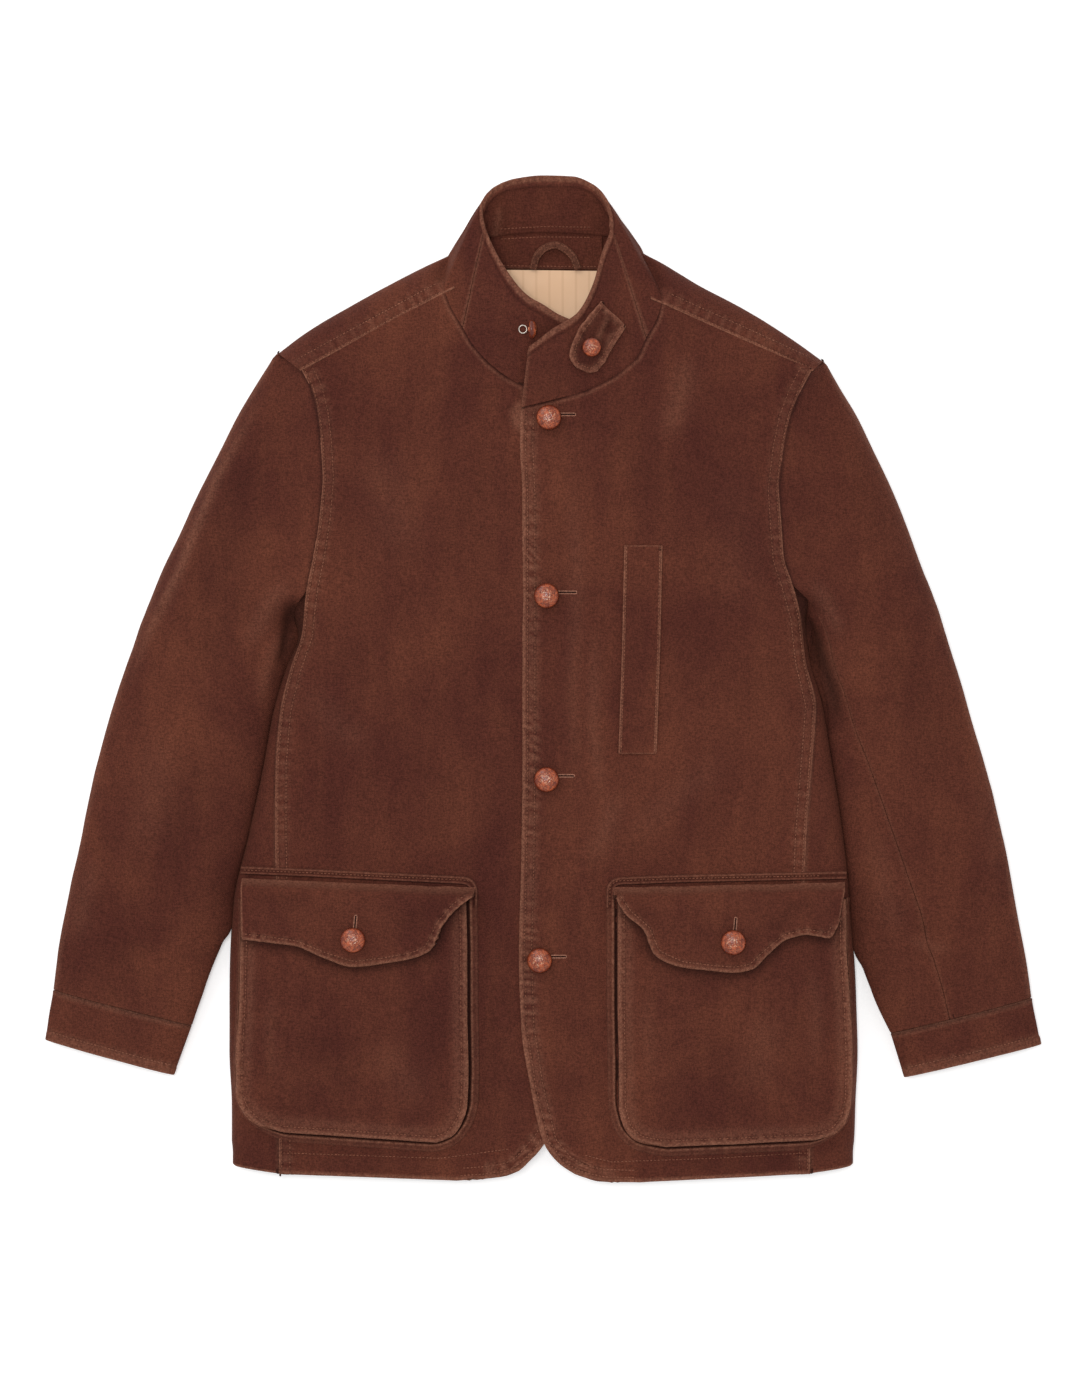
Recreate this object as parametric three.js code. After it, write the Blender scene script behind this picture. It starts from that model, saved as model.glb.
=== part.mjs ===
// Utility jacket laid flat on its back: millimetres, +Z up, +Y towards the collar,
// origin at the bottom centre. Negative x is the wearer's right side.
import * as THREE from 'three';

// Driving dimensions
const CLOTH = 2; // shell cloth wall
const COLLAR_WALL = 2.6; // collar of two layers
const THIN = 1.2; // lining and facing wall
const SEAM = 0.5; // air between two sewn pieces
const REST = 0.35; // air below a piece that lies on another
const EDGE_Z = 12; // height of the body's outline above the floor
const CROWN_DEPTH = 50; // how far in from the outline the body reaches its full height
const ROLL = 14; // how far the underside rolls in from an outline
const UNDER_SEAM = 26; // side seam on the underside, in from the outline
const SLOPE = 0.86; // cosine of the shoulder's slope
const LAP_UP = 1.3; // rise of the overlapping front
const LAP_DOWN = 1.4; // dip of the front below it
const SLEEVE_GAP = 2; // between the body's side and the sleeve
const POCKET_DEPTH = 12; // depth of the bellows
const FLAP_RISE = 15; // rise of the flap from its seam onto the pocket face
const FLAP_SEAT = 4.2; // top of the flap's seam above the body
const BUTTON_R = 10.5;
const COLLAR_BUTTON_R = 8;

// Height of the laid body's crown along its length
const CROWN = [
  { y: -442, z: 28 },
  { y: -400, z: 30 },
  { y: -150, z: 35 },
  { y: 50, z: 40 },
  { y: 200, z: 43 },
  { y: 460, z: 43 },
];

// Body halves, from the shoulder seam to the hem. edge: neckline then front edge,
// seam: armhole then side seam, side: outline beyond the side seam
const BODY_RIGHT = [
  { edge: [-86, 338], seam: [-211, 270] },
  { edge: [-80, 323], seam: [-202, 252] },
  { edge: [-70, 306], seam: [-197, 232] },
  { edge: [-62, 292], seam: [-194, 207] },
  { edge: [-48, 276], seam: [-192, 174] },
  { edge: [-33, 264], seam: [-195, 140] },
  { edge: [-16, 255], seam: [-200, 108] },
  { edge: [-14, 229], seam: [-206, 79] },
  { edge: [16, 200], seam: [-211, 38], side: [-215, 38] },
  { edge: [19, 156], seam: [-221, 9], side: [-226, 9] },
  { edge: [19, 104], seam: [-230, -28], side: [-237, -28] },
  { edge: [19, 34], seam: [-234, -77], side: [-246, -77] },
  { edge: [19, -76], seam: [-234, -141], side: [-260, -141] },
  { edge: [19, -159], seam: [-233, -194], side: [-272, -194] },
  { edge: [19, -241], seam: [-232, -264], side: [-276, -264] },
  { edge: [19, -304], seam: [-231, -325], side: [-276, -325] },
  { edge: [19, -357], seam: [-231, -378], side: [-274, -378] },
  { edge: [11, -391], seam: [-231, -408], side: [-274, -406] },
  { edge: [1, -408], seam: [-231, -421], side: [-273, -415] },
  { edge: [-13, -424], seam: [-231, -428], side: [-273, -421] },
  { edge: [-51, -439], seam: [-231, -434], side: [-273, -428] },
];
const BODY_LEFT = [
  { edge: [103, 329], seam: [235, 270] },
  { edge: [99, 313], seam: [224, 249] },
  { edge: [90, 297], seam: [215, 225] },
  { edge: [82, 280], seam: [210, 199] },
  { edge: [63, 264], seam: [206, 165] },
  { edge: [38, 251], seam: [208, 132] },
  { edge: [10, 243], seam: [210, 105] },
  { edge: [-19, 236], seam: [217, 84] },
  { edge: [-20, 203], seam: [226, 53], side: [231, 53] },
  { edge: [-18, 160], seam: [230, 16], side: [235, 16] },
  { edge: [-18, 104], seam: [239, -23], side: [246, -23] },
  { edge: [-18, 34], seam: [235, -76], side: [255, -76] },
  { edge: [-18, -76], seam: [230, -141], side: [265, -141] },
  { edge: [-19, -159], seam: [228, -194], side: [270, -194] },
  { edge: [-21, -241], seam: [229, -264], side: [275, -264] },
  { edge: [-19, -304], seam: [231, -325], side: [277, -325] },
  { edge: [-11, -357], seam: [233, -378], side: [275, -378] },
  { edge: [1, -407], seam: [234, -408], side: [274, -406] },
  { edge: [16, -426], seam: [234, -421], side: [273, -415] },
  { edge: [32, -437], seam: [234, -428], side: [273, -421] },
  { edge: [64, -442], seam: [234, -434], side: [273, -428] },
];
const ARMPIT_ROW = 8;

// Shoulder outline, where the back rolls forward, from the sleeve to the neck
const SHOULDER_RIGHT = [
  { x: 233, y: 286 },
  { x: 209, y: 304 },
  { x: 174, y: 325 },
  { x: 136, y: 346 },
  { x: 92, y: 367 },
];
const SHOULDER_LEFT = [
  { x: 246, y: 279 },
  { x: 211, y: 304 },
  { x: 177, y: 325 },
  { x: 137, y: 346 },
  { x: 96, y: 367 },
];
// Back neckline on the floor, between the two shoulders
const BACK_NECK = [[-76, 379], [-50, 390], [0, 394], [50, 392], [84, 382]];

// Sleeves: outer outline and crown from the shoulder down, inner edge below the armpit,
// seam: share of the width where the front seam of the under sleeve lies (negative: underneath)
const SLEEVE_RIGHT = [
  { outer: [-238, 281], top: 20 },
  { outer: [-252, 259], top: 28 },
  { outer: [-269, 230], top: 34 },
  { outer: [-285, 198], top: 37 },
  { outer: [-304, 161], top: 39 },
  { outer: [-320, 126], top: 39 },
  { outer: [-335, 95], top: 38 },
  { outer: [-348, 63], top: 37 },
  { outer: [-354, 48], top: 36 },
  { outer: [-361, 27], top: 35, inner: [-218, 36], seam: -0.12 },
  { outer: [-374, -10], top: 34, inner: [-233, -10], seam: -0.12 },
  { outer: [-386, -50], top: 33, inner: [-242, -52], seam: -0.12 },
  { outer: [-399, -103], top: 32, inner: [-254, -111], seam: -0.12 },
  { outer: [-407, -143], top: 31, inner: [-265, -161], seam: -0.12 },
  { outer: [-418, -194], top: 29, inner: [-277, -218], seam: -0.12 },
  { outer: [-426, -235], top: 27, inner: [-293, -259], seam: -0.12 },
  { outer: [-431, -274], top: 25, inner: [-309, -305], seam: -0.12 },
];
const SLEEVE_LEFT = [
  { outer: [250, 275], top: 20 },
  { outer: [262, 254], top: 28 },
  { outer: [276, 231], top: 34 },
  { outer: [290, 202], top: 37 },
  { outer: [306, 168], top: 39 },
  { outer: [320, 133], top: 39 },
  { outer: [332, 100], top: 38 },
  { outer: [341, 78], top: 37 },
  { outer: [347, 62], top: 36 },
  { outer: [355, 36], top: 35, inner: [234, 48], seam: 0.12 },
  { outer: [368, -4], top: 34, inner: [240, -1], seam: 0.16 },
  { outer: [377, -36], top: 33, inner: [250, -30], seam: 0.17 },
  { outer: [388, -73], top: 32, inner: [256, -74], seam: 0.23 },
  { outer: [400, -122], top: 31, inner: [265, -131], seam: 0.3 },
  { outer: [408, -157], top: 30, inner: [270, -167], seam: 0.35 },
  { outer: [419, -215], top: 28, inner: [276, -234], seam: 0.43 },
  { outer: [426, -252], top: 27, inner: [290, -277], seam: 0.43 },
  { outer: [430, -281], top: 25, inner: [306, -312], seam: 0.41 },
];
// Places round the sleeve's ring: the seam below, and the armhole's edge on the floor
const BACK_SLEEVE_SEAM = 1.5;
const ARMHOLE_FOOT = 1.999;
const FOOT_BESIDE_UNDER = 1.96; // the same, where the under sleeve begins beside it
const SEAM_TURN = 0.004; // half a seam gap as a share of the ring

// Cuffs: seam row and hem row
const CUFF_RIGHT = [
  { outer: [-431, -274], inner: [-309, -305], top: 25 },
  { outer: [-438, -318], inner: [-325, -349], top: 22 },
];
const CUFF_LEFT = [
  { outer: [430, -281], inner: [306, -312], top: 25 },
  { outer: [438, -322], inner: [318, -351], top: 22 },
];

// Stand collar from the wearer's right front end, round the back, to the left front edge.
// seam: neckline, rim: top edge; the body gives a height that is left out
const COLLAR = [
  { seam: [2, 251, 38], rim: [28, 309, 44] },
  { seam: [-16, 255, 40], rim: [13, 315, 46] },
  { seam: [-33, 264], rim: [0, 323, 48] },
  { seam: [-48, 276], rim: [-15, 332, 48] },
  { seam: [-62, 292], rim: [-37, 361, 43] },
  { seam: [-70, 306], rim: [-51, 392, 36] },
  { seam: [-80, 323], rim: [-54, 405, 31] },
  { seam: [-86, 338], rim: [-54, 414, 28] },
  { seam: [-86, 364, 13], rim: [-51, 422, 24] },
  { seam: [-77, 382, 2], rim: [-43, 431, 19] },
  { seam: [-50, 391, 0], rim: [-26, 438, 15] },
  { seam: [0, 395, 0], rim: [0, 441, 12] },
  { seam: [50, 393, 0], rim: [28, 440, 14] },
  { seam: [84, 384, 2], rim: [45, 433, 18] },
  { seam: [92, 364, 13], rim: [54, 423, 23] },
  { seam: [103, 329], rim: [58, 412, 28] },
  { seam: [99, 313], rim: [60, 402, 32] },
  { seam: [90, 297], rim: [60, 392, 36] },
  { seam: [82, 280], rim: [53, 371, 42] },
  { seam: [63, 264], rim: [46, 345, 49] },
  { seam: [38, 251], rim: [31, 316, 54] },
  { seam: [10, 243, 45.5], rim: [8, 301, 55] },
  { seam: [-19, 236, 45.5], rim: [-13, 286, 51] },
];
const COLLAR_PARTS = { collar_right: [0, 5], collar_back: [5, 17], collar_left: [17, 22] };

// Patch pockets: side points of the face from the mouth to the rounded bottom
const POCKET_RIGHT = [
  { left: [-262, -193], right: [-67, -194] },
  { left: [-264, -233], right: [-66, -238] },
  { left: [-265, -281], right: [-66, -286] },
  { left: [-268, -338], right: [-65, -343] },
  { left: [-268, -362], right: [-66, -372] },
  { left: [-262, -378], right: [-70, -386] },
  { left: [-250, -389], right: [-79, -399] },
  { left: [-226, -396], right: [-93, -405] },
];
const POCKET_LEFT = [
  { left: [65, -193], right: [264, -192] },
  { left: [65, -238], right: [265, -238] },
  { left: [65, -282], right: [268, -284] },
  { left: [66, -334], right: [270, -334] },
  { left: [66, -372], right: [269, -368] },
  { left: [71, -392], right: [265, -385] },
  { left: [83, -404], right: [255, -397] },
  { left: [107, -409], right: [238, -403] },
];
// Pocket flaps: seam on the body and free edge
const FLAP_RIGHT = [
  { seam: [-263, -174], free: [-262, -227] },
  { seam: [-238, -175], free: [-237, -230] },
  { seam: [-215, -176], free: [-215, -233] },
  { seam: [-191, -177], free: [-191, -243] },
  { seam: [-167, -178], free: [-165, -251] },
  { seam: [-140, -179], free: [-138, -248] },
  { seam: [-114, -180], free: [-112, -243] },
  { seam: [-98, -181], free: [-98, -236] },
  { seam: [-84, -181], free: [-87, -214] },
  { seam: [-71, -182], free: [-75, -200] },
  { seam: [-59, -182], free: [-60, -189] },
];
const FLAP_LEFT = [
  { seam: [61, -182], free: [62, -190] },
  { seam: [73, -182], free: [72, -205] },
  { seam: [86, -182], free: [88, -219] },
  { seam: [98, -181], free: [97, -240] },
  { seam: [121, -181], free: [120, -251] },
  { seam: [143, -180], free: [143, -254] },
  { seam: [165, -180], free: [166, -256] },
  { seam: [182, -179], free: [182, -253] },
  { seam: [197, -179], free: [196, -240] },
  { seam: [213, -179], free: [212, -227] },
  { seam: [231, -178], free: [229, -223] },
  { seam: [249, -178], free: [249, -226] },
  { seam: [264, -177], free: [257, -214] },
];

// Collar tab, from its squared end to its rounded one, with its two long edges
const TAB = [
  { left: [50, 328], right: [73, 306] },
  { left: [41, 316], right: [66, 296] },
  { left: [31, 303], right: [59, 284] },
  { left: [25, 290], right: [53, 274] },
  { left: [23, 279], right: [47, 267] },
  { left: [28, 270], right: [40, 265] },
];
const CHEST_WELT = [
  { left: [71, 116], right: [104, 116] },
  { left: [69, 25], right: [102, 25] },
  { left: [66, -66], right: [99, -66] },
];
// Neck facing and lining, as far as they show past the collar
const NECK_FACING = [
  { left: [-46, 386], right: [52, 388] },
  { left: [-46, 359], right: [52, 358] },
];
const LINING = [
  { left: [-46, 357.5], right: [52, 356.5] },
  { left: [-40, 306], right: [46, 306] },
];
const LOOP = [[-9, 361], [-6, 371], [1, 379], [11, 382], [20, 378], [27, 371], [31, 361]];
const LOOP_WIDTH = 6;
const LOOP_RISE = 5;

const FRONT_BUTTONS = [[5, 227], [3, 72], [3, -88], [-3, -246]];
const FLAP_BUTTONS = { button_flap_right: [-165, -227], button_flap_left: [165, -229] };
const TAB_BUTTON = [42, 288];
const EDGE_BUTTON = [-10, 303];

const BROWN = '#5b3226';
const CREAM = '#dfb98e';
const CHESTNUT = '#9c4a2e';
const STEEL = '#8d8780';

const mix = (a, b, t) => a + (b - a) * t;
const mix2 = (a, b, t) => [mix(a[0], b[0], t), mix(a[1], b[1], t)];
const clamp = (t) => Math.min(Math.max(t, 0), 1);
const smooth = (t) => clamp(t) ** 2 * (3 - 2 * clamp(t));

// Straight-line lookup in a table sorted by its key column
function lookup(rows, key, column, value) {
  const sorted = [...rows].sort((a, b) => a[key] - b[key]);
  const last = sorted.length - 1;
  if (value <= sorted[0][key]) return sorted[0][column];
  for (let i = 0; i < last; i += 1) {
    const t = (value - sorted[i][key]) / (sorted[i + 1][key] - sorted[i][key]);
    if (t <= 1) return mix(sorted[i][column], sorted[i + 1][column], t);
  }
  return sorted[last][column];
}

// Where the body's height falls off sideways: at its outline, and well out in the sleeve above
function sideTable(body) {
  const rows = body.filter((row) => row.side).map((row) => ({ x: Math.abs(row.side[0]), y: row.side[1] }));
  return [...rows, { x: rows[0].x + 32, y: rows[0].y + 40 }, { x: 300, y: rows[0].y + 95 }, { x: 330, y: 400 }];
}
const SIDE_RIGHT = sideTable(BODY_RIGHT);
const SIDE_LEFT = sideTable(BODY_LEFT);
const sideX = (x, y) => lookup(x < 0 ? SIDE_RIGHT : SIDE_LEFT, 'y', 'x', y);

function shoulderY(x) {
  const table = x < 0 ? SHOULDER_RIGHT : SHOULDER_LEFT;
  return lookup([...table, { x: 0, y: 412 }, { x: 300, y: 238 }], 'x', 'y', Math.abs(x));
}

const rise = (gap) => Math.sqrt(1 - (1 - clamp(gap / CROWN_DEPTH)) ** 4);

// Upper surface of the laid body
function topZ(x, y) {
  const sideGap = sideX(x, y) - Math.abs(x);
  const shoulderGap = (shoulderY(x) - y) * SLOPE;
  const full = lookup(CROWN, 'y', 'z', y);
  return mix(EDGE_Z, full, rise(sideGap) * rise(shoulderGap));
}

// Outer face of the fronts: the left one rises onto the right one
const frontZ = (x, y) => topZ(x, y) + (x > -30 ? LAP_UP * smooth((110 - x) / 50) : 0);

// The same face, held level over the last stretch to the side, which the pockets bridge
function panelZ(x, y) {
  const limit = sideX(x, y) - 18;
  return frontZ(Math.sign(x) * Math.min(Math.abs(x), limit), y);
}

const point = (x, y, z, drop = false) => ({ at: new THREE.Vector3(x, y, z), drop });

// Unit normals of a grid of points, from its neighbours both ways
function gridNormals(grid) {
  const step = (row, i) => [row[Math.max(i - 1, 0)], row[Math.min(i + 1, row.length - 1)]];
  return grid.map((row, i) => row.map((_, j) => {
    const [before, after] = step(grid, i);
    const [low, high] = step(row, j);
    const along = after[j].clone().sub(before[j]);
    return high.clone().sub(low).cross(along).normalize();
  }));
}

// One closed wall from patches of outer points. Points that coincide are shared. The inner
// skin lies inwards along each point's own normal, or else that of the faces round it, or
// straight below a point marked drop
function wallGeometry(patches, wall) {
  const index = new Map();
  const points = [];
  const quads = [];
  const idOf = (p) => {
    const key = [p.at.x, p.at.y, p.at.z].map((n) => n.toFixed(3)).join();
    if (!index.has(key)) {
      index.set(key, points.length);
      points.push(p);
    }
    return index.get(key);
  };
  for (const { rows, loop = false, flip = false } of patches) {
    const ids = rows.map((row) => row.map(idOf));
    const columns = ids[0].length;
    for (let i = 0; i < ids.length - 1; i += 1) {
      for (let j = 0; j < (loop ? columns : columns - 1); j += 1) {
        const k = (j + 1) % columns;
        const quad = [ids[i][j], ids[i + 1][j], ids[i + 1][k], ids[i][k]];
        quads.push(flip ? quad.reverse() : quad);
      }
    }
  }
  const triangles = quads.flatMap(([a, b, c, d]) => [[a, b, c], [a, c, d]])
    .filter(([a, b, c]) => a !== b && b !== c && c !== a);
  const normals = points.map(() => new THREE.Vector3());
  for (const [a, b, c] of triangles) {
    const ab = points[b].at.clone().sub(points[a].at);
    const ac = points[c].at.clone().sub(points[a].at);
    const normal = ab.cross(ac);
    [a, b, c].forEach((id) => normals[id].add(normal));
  }
  const inner = points.map(({ at, drop, own }, id) => {
    const normal = own ?? normals[id].normalize();
    if (!drop) return at.clone().addScaledVector(normal, -wall);
    return new THREE.Vector3(at.x, at.y, at.z - wall / Math.max(normal.z, 0.55));
  });
  const count = points.length;
  const edges = new Set(triangles.flatMap(([a, b, c]) => [`${a},${b}`, `${b},${c}`, `${c},${a}`]));
  const faces = [];
  for (const [a, b, c] of triangles) {
    faces.push(a, b, c, c + count, b + count, a + count);
    for (const [p, q] of [[a, b], [b, c], [c, a]]) {
      if (!edges.has(`${q},${p}`)) faces.push(q, p, p + count, q, p + count, q + count);
    }
  }
  const geometry = new THREE.BufferGeometry();
  const positions = [...points.map((p) => p.at), ...inner].flatMap((v) => [v.x, v.y, v.z]);
  geometry.setAttribute('position', new THREE.Float32BufferAttribute(positions, 3));
  geometry.setIndex(faces);
  return geometry;
}

const jacket = new THREE.Group();

function add(name, geometry, color = BROWN, roughness = 0.95, metalness = 0) {
  const mesh = new THREE.Mesh(geometry, new THREE.MeshStandardMaterial({ color, roughness, metalness }));
  mesh.name = name;
  jacket.add(mesh);
  return mesh;
}

// A panel seen from above: rows of points between a left and a right edge, at a given height
function panelPatch(rows, shares, height, flip = false) {
  const grid = rows.map(({ left, right }) => shares.map((share) => {
    const [x, y] = mix2(left, right, share);
    return point(x, y, height(x, y, share), true);
  }));
  return { rows: grid, flip };
}

const evenShares = (count) => Array.from({ length: count + 1 }, (_, i) => i / count);

// Fronts
const FRONT_SHARES = [0, 0.12, 0.3, 0.5, 0.68, 0.82, 0.93, 1];

function frontRight() {
  const rows = BODY_RIGHT.map(({ edge, seam }) => ({ left: edge, right: seam }));
  const height = (x, y) => topZ(x, y) - LAP_DOWN * smooth((x + 75) / 40);
  add('front_right', wallGeometry([panelPatch(rows, FRONT_SHARES, height, true)], CLOTH));
}

function frontLeft() {
  const rows = BODY_LEFT.map(({ edge, seam }) => ({ left: edge, right: seam }));
  add('front_left', wallGeometry([panelPatch(rows, FRONT_SHARES, frontZ)], CLOTH));
}

// Side panels: from the side seam over the outline's roll to the seam on the underside
const ROLL_SHARES = [1, 0.5, 0.2, 0.05, 0];
const ROLL_ANGLES = [30, 60, 90].map(THREE.MathUtils.degToRad);

function sidePanel(name, body) {
  const sign = Math.sign(body[ARMPIT_ROW].side[0]);
  const rows = body.slice(ARMPIT_ROW).map(({ seam, side }) => {
    const start = [seam[0] + sign * SEAM, seam[1]];
    const top = ROLL_SHARES.map((share, i) => {
      const [x, y] = mix2(side, start, share);
      return point(x, y, topZ(x, y), i === 0);
    });
    const under = ROLL_ANGLES.map((angle) => {
      const x = side[0] - sign * ROLL * (1 - Math.cos(angle));
      return point(x, side[1], EDGE_Z * (1 - Math.sin(angle)));
    });
    return [...top, ...under, point(side[0] - sign * (UNDER_SEAM - SEAM), side[1], 0)];
  });
  add(name, wallGeometry([{ rows, flip: sign < 0 }], CLOTH));
}

// Back: flat on the floor, rolled forward over each shoulder to the shoulder seam
const SHOULDER_SHARES = [0.05, 0.2, 0.5, 1];

function shoulderColumns(table, body, sign) {
  const seamEnds = [body[0].seam, body[0].edge];
  return table.map(({ x, y }, i) => {
    const outline = [sign * x, y];
    const onSeam = mix2(seamEnds[0], seamEnds[1], i / (table.length - 1));
    const width = Math.hypot(onSeam[0] - outline[0], onSeam[1] - outline[1]);
    const floor = mix2(outline, onSeam, ROLL / width);
    return { outline, floor, seam: [onSeam[0], onSeam[1] + SEAM / SLOPE] };
  });
}

function shoulderPatch(columns, flip) {
  const rows = columns.map(({ outline, floor, seam }) => {
    const under = ROLL_ANGLES.map((angle) => {
      const [x, y] = mix2(floor, outline, Math.sin(angle));
      return point(x, y, EDGE_Z * (1 - Math.cos(angle)));
    });
    const top = SHOULDER_SHARES.map((share) => {
      const [x, y] = mix2(outline, seam, share);
      return point(x, y, topZ(x, y), share === 1);
    });
    return [point(...floor, 0), ...under, ...top];
  });
  return { rows, flip };
}

function back() {
  const rightShoulder = shoulderColumns(SHOULDER_RIGHT, BODY_RIGHT, -1);
  const leftShoulder = shoulderColumns(SHOULDER_LEFT, BODY_LEFT, 1);
  const topRow = [
    ...rightShoulder.map((column) => column.floor),
    ...BACK_NECK,
    ...leftShoulder.map((column) => column.floor).reverse(),
  ];
  const boundary = (body, sign) => body.map(({ seam, side }) => (
    side ? [side[0] - sign * UNDER_SEAM, side[1]] : seam));
  const right = boundary(BODY_RIGHT, -1).reverse();
  const left = boundary(BODY_LEFT, 1).reverse();
  const first = topRow[0];
  const last = topRow[topRow.length - 1];
  const shares = topRow.map(([x]) => (x - first[0]) / (last[0] - first[0]));
  const armpitY = BODY_RIGHT[ARMPIT_ROW].side[1];
  const rows = right.map((rightEnd, i) => shares.map((share, j) => {
    const [x, y] = mix2(rightEnd, left[i], share);
    const bulge = topRow[j][1] - mix(first[1], last[1], share);
    const weight = clamp((rightEnd[1] - armpitY) / (first[1] - armpitY)) ** 2;
    return point(x, y + bulge * weight, 0);
  }));
  rows.push(topRow.map(([x, y]) => point(x, y, 0)));
  const patches = [{ rows }, shoulderPatch(rightShoulder, true), shoulderPatch(leftShoulder, false)];
  add('back', wallGeometry(patches, CLOTH));
}

// Ring sections of sleeves and cuffs. turn 0 to 1 goes over the top from the inner to the
// outer edge, 1 to 2 comes back along the floor
const FULLNESS = 2.4;

function ringPoint({ inner, outer, top, innerZ = EDGE_Z, floorZ = EDGE_Z, open = 0 }, turn) {
  const across = -Math.cos(Math.PI * turn);
  const [x, y] = mix2(inner, outer, (across + 1) / 2);
  const part = ((turn % 2) + 2) % 2;
  if (part < 1) {
    const base = across < 0 ? innerZ : EDGE_Z;
    const power = across < 0 ? mix(0.5, 1, open) : 0.5;
    const z = base + (top - base) * (1 - Math.abs(across) ** FULLNESS) ** power;
    return point(x, y, z, open === 1 && turn === 0);
  }
  const half = Math.hypot(outer[0] - inner[0], outer[1] - inner[1]) / 2;
  const share = Math.min(ROLL / half, 0.9);
  const t = clamp((Math.abs(across) - (1 - share)) / share);
  const edge = across < 0 ? floorZ : EDGE_Z;
  return point(x, y, edge * (1 - Math.sqrt(1 - t * t)));
}

// Place round the ring where a share of the width is reached
const turnAt = (share) => (share < 0 ? -1 : 1) * Math.acos(1 - 2 * Math.abs(share)) / Math.PI;

function sleeveSections(sleeve, body, shoulder, sign) {
  const armhole = body.slice(0, ARMPIT_ROW).map((row) => row.seam);
  const tip = [sign * shoulder[0].x, shoulder[0].y];
  const openings = [tip, ...armhole];
  return sleeve.map((row, i) => {
    if (row.inner) {
      const clear = sideX(sign, row.inner[1]) + SLEEVE_GAP;
      return { ...row, inner: [sign * Math.max(Math.abs(row.inner[0]), clear), row.inner[1]] };
    }
    const seam = openings[i];
    const away = new THREE.Vector2(row.outer[0] - seam[0], row.outer[1] - seam[1]);
    away.setLength(i === 0 ? 2 * SEAM : SEAM);
    const inner = [seam[0] + away.x, seam[1] + away.y];
    return { ...row, inner, innerZ: topZ(...seam), floorZ: i === 0 ? EDGE_Z * 0.8 : 0, open: 1 };
  });
}

// Stations round the ring: shares of the way to the outer edge, then turns below it
const TOP_SHARES = [0, 0.1, 0.22, 0.36, 0.52, 0.68, 0.82, 0.92, 1];
const BELOW_CLOSED = [1.08, 1.16, 1.26, 1.38];
const BELOW_OPEN = [1.08, 1.16, 1.26, 1.5];
const UNDER_SHARES = [0, 0.3, 0.5, 0.66, 0.8, 1];

function sleevePair(side, sections) {
  const first = sections.findIndex((row) => !row.open) - 1; // where the under sleeve is full
  const outerEnd = (i) => {
    if (i >= first) return BACK_SLEEVE_SEAM - SEAM_TURN;
    return i === first - 1 ? FOOT_BESIDE_UNDER : ARMHOLE_FOOT;
  };
  const outerRows = sections.map((row, i) => {
    const start = row.open ? 0 : turnAt(row.seam) + SEAM_TURN;
    const over = TOP_SHARES.map((share) => mix(start, 1, share));
    return [...over, ...(i < first ? BELOW_OPEN : BELOW_CLOSED), outerEnd(i)].map((turn) => {
      const place = ringPoint(row, turn);
      place.drop = turn === start && start >= 0;
      return place;
    });
  });
  add(`sleeve_${side}_top`, wallGeometry([{ rows: outerRows, flip: side === 'right' }], CLOTH));
  const underRows = sections.slice(first - 1).map((row, i) => {
    const start = i === 0 ? ARMHOLE_FOOT : BACK_SLEEVE_SEAM + SEAM_TURN;
    const end = row.open ? ARMHOLE_FOOT : 2 + turnAt(row.seam) - SEAM_TURN;
    return UNDER_SHARES.map((share) => mix(start, end, share)).map((turn) => {
      const place = ringPoint(row, turn);
      place.drop = turn === end && end > 2;
      return place;
    });
  });
  add(`sleeve_${side}_under`, wallGeometry([{ rows: underRows, flip: side === 'right' }], CLOTH));
}

function cuff(side, rows) {
  const [seam, hem] = rows;
  const length = Math.hypot(hem.outer[0] - seam.outer[0], hem.outer[1] - seam.outer[1]);
  const start = SEAM / length;
  const sections = [start, 0.5, 1].map((t) => ({
    inner: mix2(seam.inner, hem.inner, t),
    outer: mix2(seam.outer, hem.outer, t),
    top: mix(seam.top, hem.top, t),
  }));
  const ring = sections.map((row) => evenShares(18).slice(0, -1).map((share) => ringPoint(row, share * 2)));
  add(`cuff_${side}`, wallGeometry([{ rows: ring, loop: true, flip: side === 'right' }], CLOTH));
}

// Collar: one loft round the neck, cut at its side seams
const COLLAR_STEPS = evenShares(4);
const collarPoint = ([x, y, z]) => new THREE.Vector3(x, y, z ?? topZ(x, y));
const collarGrid = COLLAR.map(({ seam, rim }) => {
  const low = collarPoint(seam);
  const high = collarPoint(rim);
  low.lerp(high, SEAM / low.distanceTo(high));
  return COLLAR_STEPS.map((t) => low.clone().lerp(high, t));
});

function collar() {
  const normals = gridNormals(collarGrid);
  const toward = (row, other) => row.map((p, j) => (
    p.clone().lerp(other[j], (0.8 * SEAM) / Math.max(p.distanceTo(other[j]), 1))));
  for (const [name, [first, last]] of Object.entries(COLLAR_PARTS)) {
    const rows = collarGrid.slice(first, last + 1);
    const trimmed = [...rows];
    trimmed[0] = toward(rows[0], rows[1]);
    trimmed[rows.length - 1] = toward(rows[rows.length - 1], rows[rows.length - 2]);
    const patch = trimmed.map((row, i) => row.map((at, j) => ({ at, own: normals[first + i][j] })));
    add(name, wallGeometry([{ rows: patch, flip: true }], COLLAR_WALL));
  }
}

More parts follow.
